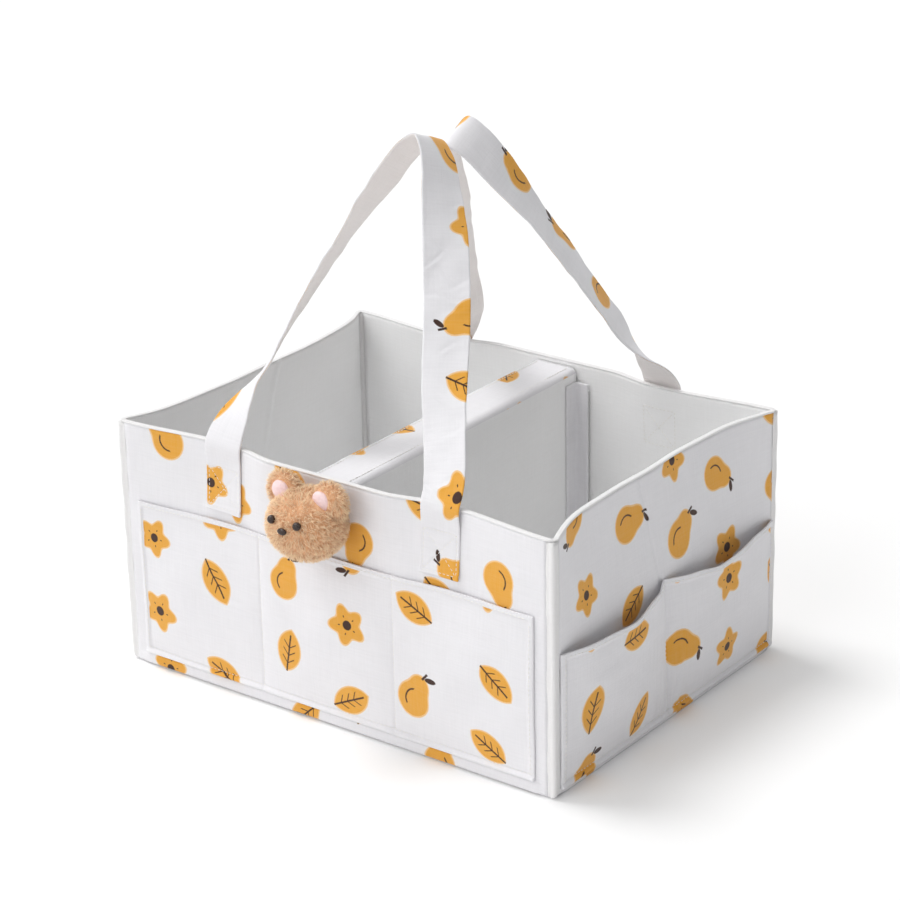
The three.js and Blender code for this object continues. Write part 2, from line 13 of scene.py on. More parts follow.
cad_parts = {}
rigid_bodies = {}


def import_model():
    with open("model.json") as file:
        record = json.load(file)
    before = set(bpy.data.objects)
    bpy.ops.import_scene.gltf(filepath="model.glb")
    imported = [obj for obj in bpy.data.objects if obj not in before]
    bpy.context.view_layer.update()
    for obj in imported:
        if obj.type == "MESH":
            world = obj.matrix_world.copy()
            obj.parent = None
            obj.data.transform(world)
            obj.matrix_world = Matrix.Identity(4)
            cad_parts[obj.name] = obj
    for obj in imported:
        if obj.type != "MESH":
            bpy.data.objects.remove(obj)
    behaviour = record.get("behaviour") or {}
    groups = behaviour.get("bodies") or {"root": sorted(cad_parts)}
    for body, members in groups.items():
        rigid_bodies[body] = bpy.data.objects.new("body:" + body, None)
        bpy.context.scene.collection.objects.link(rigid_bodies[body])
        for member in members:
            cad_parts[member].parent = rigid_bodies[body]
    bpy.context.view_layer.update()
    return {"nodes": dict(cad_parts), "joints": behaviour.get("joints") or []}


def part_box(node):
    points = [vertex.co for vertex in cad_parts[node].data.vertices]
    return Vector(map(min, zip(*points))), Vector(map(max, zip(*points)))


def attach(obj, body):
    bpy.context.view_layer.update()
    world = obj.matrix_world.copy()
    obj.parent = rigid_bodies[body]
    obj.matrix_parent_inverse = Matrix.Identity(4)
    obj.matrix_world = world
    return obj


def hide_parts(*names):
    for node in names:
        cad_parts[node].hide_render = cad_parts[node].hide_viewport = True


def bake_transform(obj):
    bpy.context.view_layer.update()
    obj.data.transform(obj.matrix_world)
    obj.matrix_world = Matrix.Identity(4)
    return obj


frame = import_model()
MM = 0.001
QUARTER_TURN = math.pi / 2
FULL_TURN = 2 * math.pi

# Sizes of the body, read from the frame
HALF_WIDTH, HALF_DEPTH, BASE_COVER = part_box("base_cover")[1]
LONG_REACH, _, WALL_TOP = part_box("front_cover")[1]
WALL_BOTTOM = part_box("front_cover")[0].z
END_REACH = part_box("right_cover")[1].y
BINDING_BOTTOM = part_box("front_rim_binding")[0].z
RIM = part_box("front_rim_binding")[1].z
LONG_POCKET_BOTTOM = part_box("front_pocket_left")[0].z
LONG_POCKET_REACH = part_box("front_pocket_right")[1].x
END_POCKET_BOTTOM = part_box("right_pockets")[0].z
END_POCKET_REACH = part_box("right_pockets")[1].y
PATCH_LOW, PATCH_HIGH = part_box("front_strap_patch_right")
STRAP_OFFSET = (PATCH_LOW.x + PATCH_HIGH.x) / 2
STRAP_HALF_WIDTH = (PATCH_HIGH.x - PATCH_LOW.x) / 2
HINGE_OUT = abs(next(j for j in frame["joints"] if j["name"] == "front_handle_hinge")["pos_m"][1])

# Layers of a wall, from the outside in
GAP = 0.3 * MM
COVER = 0.8 * MM
BOARD = 1.6 * MM
LINING = 0.6 * MM
WALL = COVER + GAP + BOARD + GAP + LINING
BINDING = 0.5 * MM
BINDING_PROUD = GAP + BINDING

# Camera: at the photograph's viewing angle
CAMERA_AZIMUTH = math.radians(37.186)
CAMERA_ELEVATION = math.radians(22.424)
CAMERA_ROLL = -0.021
CAMERA_DISTANCE = 2.1393
CAMERA_LENS = 119.16
CAMERA_SENSOR = 36
CAMERA_TARGET = Vector((1.709, 0, 162.438)) * MM


def make_camera():
    camera = bpy.data.objects.new("camera", bpy.data.cameras.new("camera"))
    camera.data.lens = CAMERA_LENS
    camera.data.sensor_width = CAMERA_SENSOR
    round_z = Matrix.Rotation(CAMERA_AZIMUTH, 4, "Z")
    tilt = Matrix.Rotation(QUARTER_TURN - CAMERA_ELEVATION, 4, "X")
    roll, back = Matrix.Rotation(CAMERA_ROLL, 4, "Z"), Matrix.Translation((0, 0, CAMERA_DISTANCE))
    camera.matrix_world = Matrix.Translation(CAMERA_TARGET) @ round_z @ tilt @ roll @ back
    bpy.context.scene.collection.objects.link(camera)
    bpy.context.scene.camera = camera


# Shader arithmetic: a Num is a value in a node tree, and sums and products of it add nodes
class Num:
    def __init__(self, tree, socket):
        self.tree, self.socket = tree, socket

    def __add__(self, other):
        return math_node("ADD", self, other)

    def __sub__(self, other):
        return math_node("SUBTRACT", self, other)

    def __rsub__(self, other):
        return math_node("SUBTRACT", other, self)

    def __mul__(self, other):
        return math_node("MULTIPLY", self, other)

    def __abs__(self):
        return math_node("ABSOLUTE", self)


def feed(tree, socket, value):
    if isinstance(value, Num):
        tree.links.new(value.socket, socket)
    else:
        socket.default_value = value


def add_node(tree, kind, output, inputs, **settings):
    """One output of a new node. inputs maps places or names of its inputs to what feeds them."""
    node = tree.nodes.new(kind)
    for name, value in settings.items():
        setattr(node, name, value)
    for place, value in inputs.items():
        feed(tree, node.inputs[place], value)
    return Num(tree, node.outputs[output])


def math_node(operation, *inputs):
    tree = next(value.tree for value in inputs if isinstance(value, Num))
    return add_node(tree, "ShaderNodeMath", 0, dict(enumerate(inputs)), operation=operation)


def length(x, y):
    return math_node("SQRT", x * x + y * y)


def least(a, b):
    return math_node("MINIMUM", a, b)


def most(a, b):
    return math_node("MAXIMUM", a, b)


def vector_of(tree, x, y, z=0):
    return add_node(tree, "ShaderNodeCombineXYZ", 0, {0: x, 1: y, 2: z})


def parts_of(value, kind="ShaderNodeSeparateXYZ"):
    node = value.tree.nodes.new(kind)
    feed(value.tree, node.inputs[0], value)
    return [Num(value.tree, socket) for socket in node.outputs]


def random_of(tree, column, row, seed):
    """Three numbers from 0 to 1 for each whole column and row."""
    place = vector_of(tree, column, row, seed)
    color = add_node(tree, "ShaderNodeTexWhiteNoise", "Color", {"Vector": place}, noise_dimensions="3D")
    return parts_of(color, "ShaderNodeSeparateColor")


def noise(place, scale, detail=2, roughness=0.5):
    inputs = {"Vector": place, "Scale": scale, "Detail": detail, "Roughness": roughness}
    return add_node(place.tree, "ShaderNodeTexNoise", "Fac", inputs)


def mix_color(share, a, b):
    """Colour a at 0 and b at 1. Each is a Num or an (r, g, b) of linear values."""
    a, b = (color if isinstance(color, Num) else (*color, 1) for color in (a, b))
    return add_node(share.tree, "ShaderNodeMix", 2, {0: share, 6: a, 7: b}, data_type="RGBA")


def srgb(red, green, blue):
    """A colour of 0 to 255 as the screen shows it, as linear values."""
    shares = [value / 255 for value in (red, green, blue)]
    return tuple(s / 12.92 if s <= 0.04045 else ((s + 0.055) / 1.055) ** 2.4 for s in shares)


def scaled(color, share):
    return tuple(min(1, share * value) for value in color)


# Print: a half-drop repeat of small fruit, leaves and blossoms, drawn in millimetres of cloth.
# Each motif gives its distance outside its fill and outside its dark lines.
PRINT_PITCH = 60
PRINT_JITTER_SHARE = 0.22
PRINT_SOFT = 0.22
PRINT_OUTLINE = 0.9
PRINT_RAGGED = 0.5
STEM_REACH = 9
SMALLEST, SIZE_RANGE = 0.79, 0.1
PLACE_SEED, KIND_SEED = 7, 31
LEAF_FROM, BLOSSOM_FROM = 0.4, 0.72


def pear(x, y):
    body = math_node("SMOOTH_MIN", length(x, y + 3.5) - 10.2, length(x, y - 7.5) - 6.0, 7.0)
    stem = most(abs(x - (y - 13) * 0.25) - 0.75, abs(y - 15) - 2.6)
    calyx = most(length(x, (y + 13.2) * 1.6) - 2.0, -1 - y)
    shine = most(abs(length(x - 1.5, y + 3) - 6.6) - 0.5, x + 2.2)
    leaf_x, leaf_y = x - 4.6, y - 15.6
    small_leaf = length(leaf_x, leaf_y * 2.0 - leaf_x * 0.8) - 3.5
    return body, least(least(stem, least(calyx, shine)), small_leaf * 0.7)


def leaf(x, y):
    body = most(length(x - 7.5, y) - 15.6, length(x + 7.5, y) - 15.6)
    rib = most(abs(x) - 0.55, abs(y + 2) - 12.5)
    fold = math_node("PINGPONG", y - abs(x) * 0.9 + 40, 2.6)
    veins = most(fold - 0.42, most(abs(x) - 4.4, abs(y + 1) - 8.0))
    return body, least(rib, veins)


def blossom(x, y):
    angle, away = math_node("ARCTAN2", y, x), length(x, y)
    body = away - math_node("COSINE", angle * 5) * 2.1 - 10.4
    dots = length(away - 5.6, math_node("SINE", angle * 2.5) * 4.6) - 0.75
    return body * 0.8, least(away - 3.0, dots)


def inside(distance):
    """1 within a motif and 0 outside it, from its distance."""
    inputs = {"Value": distance, "From Min": PRINT_SOFT, "From Max": -PRINT_SOFT}
    return add_node(distance.tree, "ShaderNodeMapRange", "Result", inputs)


def print_group():
    """Where the print has its fill, its dark lines and its pale outline, from cloth coordinates."""
    group = bpy.data.node_groups.new("motif_print", "ShaderNodeTree")
    group.interface.new_socket("Cloth", in_out="INPUT", socket_type="NodeSocketVector")
    for name in ("Fill", "Dark", "Outline"):
        group.interface.new_socket(name, in_out="OUTPUT", socket_type="NodeSocketFloat")
    cloth = Num(group, group.nodes.new("NodeGroupInput").outputs[0])
    leave = group.nodes.new("NodeGroupOutput")
    u, v, _ = parts_of(cloth)
    column_place = u * (1 / (PRINT_PITCH * MM))
    column = math_node("FLOOR", column_place)
    row_place = v * (1 / (PRINT_PITCH * MM)) + math_node("PINGPONG", column, 1) * 0.5
    row = math_node("FLOOR", row_place)
    shift_x, shift_y, turn = random_of(group, column, row, PLACE_SEED)
    kind, size, _ = random_of(group, column, row, KIND_SEED)
    x = (column_place - column - 0.5 - (shift_x - 0.5) * PRINT_JITTER_SHARE) * PRINT_PITCH
    y = (row_place - row - 0.5 - (shift_y - 0.5) * PRINT_JITTER_SHARE) * PRINT_PITCH
    cos, sin = (math_node(wave, turn * FULL_TURN) for wave in ("COSINE", "SINE"))
    grow = size * SIZE_RANGE + SMALLEST
    x, y = (x * cos + y * sin) * grow, (y * cos - x * sin) * grow
    motifs = [pear(x, y), leaf(x, y), blossom(x, y)]
    is_leaf, is_blossom = (math_node("GREATER_THAN", kind, start) for start in (LEAF_FROM, BLOSSOM_FROM))
    ragged = (noise(cloth, 900) - 0.5) * PRINT_RAGGED

    def chosen(part):
        first = motifs[0][part] + is_leaf * (motifs[1][part] - motifs[0][part])
        return first + is_blossom * (motifs[2][part] - first) + ragged

    body, dark = chosen(0), chosen(1)
    drawn = (inside(body), inside(dark) * inside(body - STEM_REACH), inside(body - PRINT_OUTLINE))
    for socket, value in zip(leave.inputs, drawn):
        feed(group, socket, value)
    return group


# Materials. A recipe works out the shader's inputs on a material's node tree.
WHITE = srgb(236, 235, 238)
# The lining is white cloth, set whiter than the canvas: the extra whiteness is painted light, standing in
# for light bounced round the inside.
LINING_WHITE_AND_PAINTED_BOUNCE = srgb(250, 250, 250)
TAPE_WHITE = srgb(238, 237, 237)
THREAD_WHITE = srgb(242, 240, 236)
STRAP_BACK_WHITE = srgb(246, 241, 239)
OCHRE = srgb(231, 166, 62)
PEACH = srgb(242, 196, 128)
DARK = srgb(66, 44, 36)
TAN = srgb(252, 210, 168)
TAN_DEEP = srgb(220, 156, 106)
# Painted shade: the dark brown at the fur's roots stands for the shade between clumped strands.
TAN_ROOT_PAINTED_SHADE = srgb(158, 96, 54)
TAN_LIGHT = srgb(255, 232, 196)
PALE_PINK = srgb(255, 233, 235)
PINK_DEEP = srgb(250, 216, 216)
BOARD_GREY = srgb(186, 180, 168)
HOOK_GREY = srgb(226, 226, 224)
LOOP_GREY = srgb(236, 236, 235)
BEAD_DEEP, BEAD_BROWN = srgb(34, 24, 20), srgb(58, 38, 30)
THREAD_PITCH = 0.62 * MM
SEWING_PITCH = 0.3 * MM
TAPE_PITCH = 0.45 * MM
HOOK_PITCH, LOOP_PITCH = 0.9 * MM, 0.6 * MM


def new_material(name, recipe, *values, **options):
    material = bpy.data.materials.new(name)
    material.use_nodes = True
    tree = material.node_tree
    for place, value in recipe(tree, *values, **options).items():
        feed(tree, tree.nodes["Principled BSDF"].inputs[place], value)
    return material


def cloth_place(tree):
    return add_node(tree, "ShaderNodeUVMap", 0, {}, uv_map="cloth")


def object_place(tree):
    return add_node(tree, "ShaderNodeTexCoord", "Object", {})


def bumps(height, distance):
    return add_node(height.tree, "ShaderNodeBump", 0, {"Distance": distance, "Height": height})


def woven(tree, cloth, pitch):
    """A plain weave's height, and how light or dark its uneven threads are, both about 0 to 1."""
    u, v, _ = parts_of(cloth)
    warp, weft = (math_node("SINE", place * (FULL_TURN / pitch)) for place in (u, v))
    along_u = noise(vector_of(tree, u * 40, v * 760), 1)
    along_v = noise(vector_of(tree, u * 760, v * 40, 5), 1)
    return warp * weft * 0.25 + 0.5, (along_u + along_v) * 0.5


def fabric(tree, base, pitch=THREAD_PITCH, printed=False, crumple=0.5, slub=0.5):
    """Woven cloth: threads with slubs, soft creases, uneven colour, and the print if it has one."""
    cloth = cloth_place(tree)
    weave, slubs = woven(tree, cloth, pitch)
    crease = noise(cloth, 38, 4, 0.55)
    fine = noise(cloth, 190, 3, 0.6)
    broad = noise(cloth, 16, 3, 0.6)
    tone = (slubs - 0.5) * (3 * slub) + (broad - 0.5) * 0.8 + 0.5
    color = mix_color(tone, scaled(base, 0.95), scaled(base, 1.04))
    if printed:
        group = tree.nodes.new("ShaderNodeGroup")
        group.node_tree = PRINT
        feed(tree, group.inputs[0], cloth)
        fill, dark, outline = (Num(tree, socket) for socket in group.outputs)
        worn = least(slubs * 0.5 + 0.7, 1)
        color = mix_color(outline * 0.9, color, PEACH)
        color = mix_color(fill * worn, color, OCHRE)
        color = mix_color(dark, color, DARK)
    height = weave * 0.16 + slubs * 0.5 + crease * (2.6 * crumple) + fine * (0.6 * crumple)
    return {
        "Base Color": color,
        "Sheen Weight": 0.25,
        "Sheen Roughness": 0.5,
        "Specular IOR Level": 0.25,
        "Roughness": (slubs - 0.5) * 0.2 + 0.86,
        "Normal": bumps(height, 0.5 * MM),
    }


def stiffener(tree, base):
    """Pressed board: fine fibres."""
    fibres = noise(object_place(tree), 300, 4, 0.6)
    color = mix_color(fibres, scaled(base, 0.85), base)
    return {"Base Color": color, "Roughness": fibres * 0.2 + 0.7, "Normal": bumps(fibres, 0.2 * MM)}


def pile_tape(tree, base, pitch):
    """Hook or loop tape: a dense field of small tufts."""
    inputs = {"Vector": object_place(tree), "Scale": 1 / pitch}
    tuft = add_node(tree, "ShaderNodeTexVoronoi", "Distance", inputs)
    color = mix_color(tuft, base, scaled(base, 0.8))
    return {"Base Color": color, "Roughness": tuft * 0.1 + 0.8, "Normal": bumps(1 - tuft, 0.5 * MM)}


def plush(tree, light, deep):
    """The knitted ground under the fur, and short pile."""
    tufts = noise(object_place(tree), 420, 3, 0.6)
    broad = noise(object_place(tree), 70)
    return {
        "Base Color": mix_color(tufts * 0.7 + broad * 0.5 - 0.1, deep, light),
        "Roughness": tufts * 0.1 + 0.82,
        "Sheen Weight": 0.5,
        "Normal": bumps(tufts, 0.8 * MM),
    }


def strands(tree):
    """Fur strands, each with its own tone and darker at the root: the dark roots are painted shade between
    the strands, in patches.
    """
    tone, along, _ = parts_of(cloth_place(tree))
    broad = noise(object_place(tree), 90)
    tufts = noise(object_place(tree), 330)
    # Painted shade: roots darken in patches where strands clump and shade each other.
    root = mix_color(tufts * 3 - 0.75, TAN_ROOT_PAINTED_SHADE, TAN_DEEP)
    return {
        "Base Color": mix_color(along * 0.8 + tone * 0.45 + broad * 0.3 - 0.1, root, TAN_LIGHT),
        "Roughness": tone * 0.15 + 0.6,
        "Specular IOR Level": 0.2,
    }


def beads(tree):
    """Glossy dark beads with a faint mottle."""
    mottle = noise(object_place(tree), 600)
    color = mix_color(mottle, BEAD_DEEP, BEAD_BROWN)
    return {"Base Color": color, "Roughness": mottle * 0.12 + 0.22, "Normal": bumps(mottle, 0.05 * MM)}


PRINT = print_group()
printed_canvas = new_material("printed_canvas", fabric, WHITE, printed=True)
plain_canvas = new_material("plain_canvas", fabric, WHITE)
lining_cloth = new_material("lining_cloth", fabric, LINING_WHITE_AND_PAINTED_BOUNCE, slub=0.4, crumple=0.4)
tape_cloth = new_material("binding_tape", fabric, TAPE_WHITE, pitch=TAPE_PITCH, crumple=0.35, slub=0.3)
strap_back = new_material("strap_back", fabric, STRAP_BACK_WHITE, crumple=0.7)
thread = new_material("sewing_thread", fabric, THREAD_WHITE, pitch=SEWING_PITCH, crumple=0.1)
board = new_material("stiffener_board", stiffener, BOARD_GREY)
hook_tape = new_material("hook_tape", pile_tape, HOOK_GREY, HOOK_PITCH)
loop_tape = new_material("loop_tape", pile_tape, LOOP_GREY, LOOP_PITCH)
plush_fur = new_material("plush_fur", plush, TAN, TAN_DEEP)
plush_strand = new_material("plush_strands", strands)
plush_pink = new_material("plush_pink", plush, PALE_PINK, PINK_DEEP)
bead = new_material("bead", beads)


# Meshes
def make_piece(name, points, faces, uvs, materials, face_materials=None, closed=True):
    """A mesh from points, faces and a cloth coordinate for each point."""
    mesh = bpy.data.meshes.new(name)
    mesh.from_pydata([tuple(point) for point in points], [], [tuple(face) for face in faces])
    corners = np.zeros(len(mesh.loops), np.int32)
    mesh.loops.foreach_get("vertex_index", corners)
    layer = mesh.uv_layers.new(name="cloth")
    layer.data.foreach_set("uv", np.asarray(uvs, np.float32)[corners].ravel())
    for material in materials:
        mesh.materials.append(material)
    if face_materials is not None:
        mesh.polygons.foreach_set("material_index", np.asarray(face_materials, np.int32))
    mesh.polygons.foreach_set("use_smooth", np.full(len(mesh.polygons), True))
    if closed:
        turned_out = bmesh.new()
        turned_out.from_mesh(mesh)
        bmesh.ops.recalc_face_normals(turned_out, faces=turned_out.faces)
        turned_out.to_mesh(mesh)
        turned_out.free()
    mesh.update()
    piece = bpy.data.objects.new(name, mesh)
    bpy.context.scene.collection.objects.link(piece)
    return piece


def finish_piece(piece, body, slot, *nodes):
    if body:
        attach(piece, body)
    if nodes:
        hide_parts(*nodes)
    return piece


def grid_quads(rows, columns, start=0, wrap=False):
    """Faces of a grid of points, laid row by row. With wrap, the last column joins the first."""
    quads = []
    for row in range(rows - 1):
        for column in range(columns if wrap else columns - 1):
            a, b = (start + row * columns + place for place in (column, (column + 1) % columns))
            quads.append((a, b, b + columns, a + columns))
    return quads


def tube_faces(rings, around, start=0):
    """Faces of a tube through rings of points, with its two ends capped."""
    last = start + (rings - 1) * around
    caps = [range(start, start + around)[::-1], range(last, last + around)]
    return grid_quads(rings, around, start, wrap=True) + caps


def shell(name, outer, inner, uvs, materials, front_kinds=None):
    """A closed sheet between two grids of points, (rows, columns, 3), with a grid of cloth coordinates."""
    rows, columns = outer.shape[:2]
    count = rows * columns
    points = np.concatenate([outer.reshape(-1, 3), inner.reshape(-1, 3)])
    uvs = np.tile(uvs.reshape(-1, 2), (2, 1))
    front = grid_quads(rows, columns)
    back = [quad[::-1] for quad in grid_quads(rows, columns, count)]
    at = np.arange(count).reshape(rows, columns)
    loop = [*at[0], *at[1:, -1], *at[-1, -2::-1], *at[-2:0:-1, 0]]
    rim = [(a, a + count, b + count, b) for a, b in zip(loop, loop[1:] + loop[:1])]
    kinds = list(front_kinds) if front_kinds is not None else [0] * len(front)
    kinds += [0] * len(back) + [len(materials) - 1] * len(rim)
    return make_piece(name, points, front + back + rim, uvs, materials, kinds)


def loft(name, rings, uvs, materials, kinds_around=None):
    """A closed body through rings of points, (count, points, 3), with its two ends capped."""
    count, around = rings.shape[:2]
    kinds = None if kinds_around is None else kinds_around * (count - 1) + [0, 0]
    faces = tube_faces(count, around)
    return make_piece(name, rings.reshape(-1, 3), faces, uvs.reshape(-1, 2), materials, kinds)


# Shapes in numbers
def stacked(*parts):
    """Points or pairs from arrays, or single numbers, of their parts."""
    return np.stack(np.broadcast_arrays(*parts), axis=-1)


def unit(vectors):
    return vectors / np.linalg.norm(vectors, axis=-1, keepdims=True)


def distances(points):
    """How far along a line each of its points lies."""
    return np.concatenate([[0], np.cumsum(np.linalg.norm(np.diff(points, axis=0), axis=1))])


def read_along(rows, along, at):
    """Rows of values that belong to distances along a line, at other distances."""
    return np.stack([np.interp(at, along, values) for values in rows.T], axis=-1)


def smooth_step(value, low, high):
    share = np.clip((value - low) / (high - low), 0, 1)
    return share * share * (3 - 2 * share)


def fade(value, low, high):
    return 1 - smooth_step(value, low, high)


def bell(value, half):
    return np.exp(-((value / half) ** 2))


def eased(table, place):
    """A table's value at a place, with a smooth step from each of its rows to the next."""
    starts, values = np.array(table).T
    last = np.clip(np.searchsorted(starts, place, side="right") - 1, 0, len(starts) - 2)
    share = smooth_step(place, starts[last], starts[last + 1])
    return values[last] + (values[last + 1] - values[last]) * share


def arc(x, y, radius, steps, start=0):
    """Points of a quarter round about a centre, anticlockwise from the angle start."""
    angles = start + np.linspace(0, QUARTER_TURN, steps)
    return [(x + radius * math.cos(angle), y + radius * math.sin(angle)) for angle in angles]


def ripples(seed, wavelength, count=9):
    """A smooth random surface of about that wavelength, a function of two lengths, mostly from -1 to 1."""
    draw = random.Random(seed)
    waves = []
    for _ in range(count):
        angle = draw.uniform(0, math.pi)
        turns = FULL_TURN / (wavelength * draw.uniform(0.7, 1.6))
        waves.append((turns * math.cos(angle), turns * math.sin(angle), draw.uniform(0, FULL_TURN)))

    def height(x, z):
        return sum(np.sin(kx * x + kz * z + phase) for kx, kz, phase in waves) / math.sqrt(2 * count)

    return height


def lines_between(places, step):
    """Every wanted place, with equal steps of at most that length between them."""
    places = sorted(set(round(float(place), 7) for place in places))
    lines = [places[0]]
    for low, high in zip(places, places[1:]):
        steps = max(1, math.ceil((high - low) / step - 1e-6))
        lines += [low + (high - low) * part / steps for part in range(1, steps + 1)]
    return np.array(lines)


# Walls. Each has its own frame: x along it, z up, and out measured outwards from its flat plane.
HANDLE_PULL = 8 * MM
END_PULL = 15 * MM
PULL_HEIGHT_POWER = 2.4
END_PULL_POWER = 4.2
BOW_CLEAR = 48 * MM
WALL_SEED = 11
WALL_CLOTH = np.array([0.31, 0.17])
WAVE = 0.8 * MM
WAVE_LENGTH = 80 * MM
WAVES_START = (6 * MM, 30 * MM)
LONG_WAVES_END = (150 * MM, 182 * MM)
LONG_WAVES_FROM = (50 * MM, 66 * MM)
LONG_WAVES_TO = (170 * MM, 183 * MM)
END_WAVES_TO = (120 * MM, 132 * MM)
LONG_BOTTOM_ROUND = 2.6 * MM
END_BOTTOM_ROUND = 5 * MM
BOTTOM_LINES = [z * MM for z in (1.2, 1.8, 2.4, 3, 4, 5)]
BAND_PROUD = 1.3 * MM
BAND_GAP = 0.8 * MM
BAND_FADE = (9 * MM, 3 * MM)
BAND_LINES = [z * MM for z in (-1.6, -1, -0.6, -0.3, 0, 0.4)]
CREASE_LOW, CREASE_HIGH = 10 * MM, -19 * MM
CREASE_DEPTH = 1.3 * MM
CREASE_HALF = 2.2 * MM
CREASE_START = (5 * MM, 25 * MM)
CREASE_LINES = np.arange(-22, 22.1, 1.5) * MM
WALL_STEP = 3.2 * MM


def bottom_tuck(z, radius):
    """The cloth turns under the caddy in a round of that radius."""
    below = np.clip(radius - z, 0, radius)
    return radius - np.sqrt(radius**2 - below**2)


def height_share(z):
    return (np.maximum(z, 0) / RIM) ** PULL_HEIGHT_POWER


def long_pull(x, z):
    """The handles draw a long wall inwards."""
    reach = np.abs(x) - STRAP_OFFSET
    room = np.where(reach < 0, STRAP_OFFSET - BOW_CLEAR, LONG_REACH - STRAP_OFFSET)
    away = np.minimum(1, np.abs(reach) / room)
    return HANDLE_PULL * (1 - away**2) ** 2 * height_share(z)


def end_pull(x, z):
    """An end wall sags inwards between its corners."""
    share = np.minimum(1, np.abs(x) / END_REACH)
    return END_PULL * (1 - share**END_PULL_POWER) * height_share(z)


def long_waves(x, z):
    sides = smooth_step(np.abs(x), *LONG_WAVES_FROM) * fade(np.abs(x), *LONG_WAVES_TO)
    return sides * smooth_step(z, *WAVES_START) * fade(z, *LONG_WAVES_END)


def end_waves(x, z):
    return fade(np.abs(x), *END_WAVES_TO) * smooth_step(z, *WAVES_START)


def crease_depth(x, z):
    middle = CREASE_LOW + (CREASE_HIGH - CREASE_LOW) * z / RIM
    return CREASE_DEPTH * bell(x - middle, CREASE_HALF) * smooth_step(z, *CREASE_START)


class Wall:
    def __init__(self, name, quarter):
        self.name, self.long = name, quarter % 2 == 0
        self.cos, self.sin = [(1, 0), (0, 1), (-1, 0), (0, -1)][quarter]
        self.waves = ripples(WALL_SEED + quarter, WAVE_LENGTH)
        self.cloth = WALL_CLOTH * quarter
        if self.long:
            self.reach, self.half, self.span = LONG_REACH, HALF_DEPTH, HALF_WIDTH
            self.drawn, self.wavy, self.bottom_round = long_pull, long_waves, LONG_BOTTOM_ROUND
            self.band_top = LONG_POCKET_BOTTOM - BAND_GAP
        else:
            self.reach, self.half, self.span = END_REACH, HALF_WIDTH, HALF_DEPTH
            self.drawn, self.wavy, self.bottom_round = end_pull, end_waves, END_BOTTOM_ROUND
            self.band_top = END_POCKET_BOTTOM - BAND_GAP

    def pull(self, x, z, creased=True):
        """How far inwards of its flat plane the wall stands."""
        waves = WAVE * self.waves(x, z) * self.wavy(x, z)
        crease = crease_depth(x, z) if creased and not self.long else 0
        return self.drawn(x, z) + waves + bottom_tuck(z, self.bottom_round) + crease - self.band(x, z)

    def band(self, x, z):
        """How far the turned edge below the pocket stands proud."""
        up = np.clip(2 * z / self.band_top - 1, -1, 1)
        start, end = BAND_FADE
        return BAND_PROUD * (1 - up**4) * fade(np.abs(x), self.reach - start, self.reach - end)

    def turned(self, x, y, z):
        return stacked(x * self.cos - y * self.sin, x * self.sin + y * self.cos, z)

    def place(self, x, z, out, creased=True):
        """Points for places on the wall."""
        return self.turned(x, -(self.half + out - self.pull(x, z, creased)), z)

    def outward(self, count):
        return np.tile([self.sin, -self.cos, 0.0], (count, 1))

    def lines(self):
        """Places of the grid lines across and up the wall's sheets."""
        fine = [] if self.long else CREASE_LINES
        across = lines_between([-self.reach, self.reach, *fine], WALL_STEP)
        near = [self.band_top + z for z in BAND_LINES]
        return across, lines_between([WALL_BOTTOM, *BOTTOM_LINES, *near, WALL_TOP], WALL_STEP)

    def sheet(self, name, across, up, out, thickness, material):
        x, z = np.meshgrid(across, up)
        outer, inner = self.place(x, z, out), self.place(x, z, out - thickness)
        return shell(name, outer, inner, stacked(x, z) + self.cloth, [material])


WALLS = [Wall(name, quarter) for quarter, name in enumerate(("front", "right", "back", "left"))]


# Stitches: short thread bodies, half sunk in the cloth
STITCH = 2.3 * MM
STITCH_PITCH = 3.3 * MM
STITCH_HALF = 0.27 * MM
STITCH_SIDES = 6
STITCH_RINGS = np.array([0, 0.15, 0.85, 1])
STITCH_FULLNESS = np.array([0.5, 1, 1, 0.5])
STITCH_LIFT = np.array([-0.9, 0.1, 0.1, -0.9])
STITCH_LOOK = 0.2 * MM
STITCH_CLOTH = 0.6 * MM


def stitch_row(points, normals):
    """Rings of points for the stitches along a line on cloth: (stitches, rings, sides, 3)."""
    along = distances(points)
    starts = np.arange(STITCH_PITCH / 2, along[-1] - STITCH, STITCH_PITCH)
    at = starts[:, None] + STITCH_RINGS * STITCH
    ahead, behind = (read_along(points, along, at + look) for look in (STITCH_LOOK, -STITCH_LOOK))
    normal = unit(read_along(normals, along, at))
    side = np.cross(unit(ahead - behind), normal)
    centre = read_along(points, along, at) + normal * (STITCH_HALF * STITCH_LIFT)[:, None]
    angles = np.arange(STITCH_SIDES)[:, None] * FULL_TURN / STITCH_SIDES
    around = np.cos(angles) * side[:, :, None, :] + np.sin(angles) * normal[:, :, None, :]
    return centre[:, :, None, :] + around * (STITCH_HALF * STITCH_FULLNESS)[:, None, None]


def stitches(name, rows, body, slot):
    """All the stitches of some rows, each row a pair of points and normals, as one piece."""
    rings = np.concatenate([stitch_row(points, normals) for points, normals in rows])
    points = rings.reshape(-1, 3)
    faces = []
    for start in range(0, len(points), len(STITCH_RINGS) * STITCH_SIDES):
        faces += tube_faces(len(STITCH_RINGS), STITCH_SIDES, start)
    ring, side = np.divmod(np.arange(len(points)), STITCH_SIDES)
    piece = make_piece(name, points, faces, stacked(side, ring) * STITCH_CLOTH, [thread])
    return finish_piece(piece, body, slot)


def polyline(*corners, step=0.8 * MM):
    """Places along straight lines through corners, (count, 2)."""
    corners = np.array(corners, float)
    runs = []
    for low, high in zip(corners, corners[1:]):
        count = max(2, int(np.linalg.norm(high - low) / step))
        runs.append(low + (high - low) * np.linspace(0, 1, count, endpoint=False)[:, None])
    return np.concatenate([*runs, corners[-1:]])


def boxed_cross(middle, low, high, half):
    """The stitched square with both diagonals that holds a strap's end."""
    square = [(middle - half, low), (middle + half, low), (middle + half, high), (middle - half, high)]
    return [polyline(*square, square[0]), polyline(square[0], square[2]), polyline(square[1], square[3])]


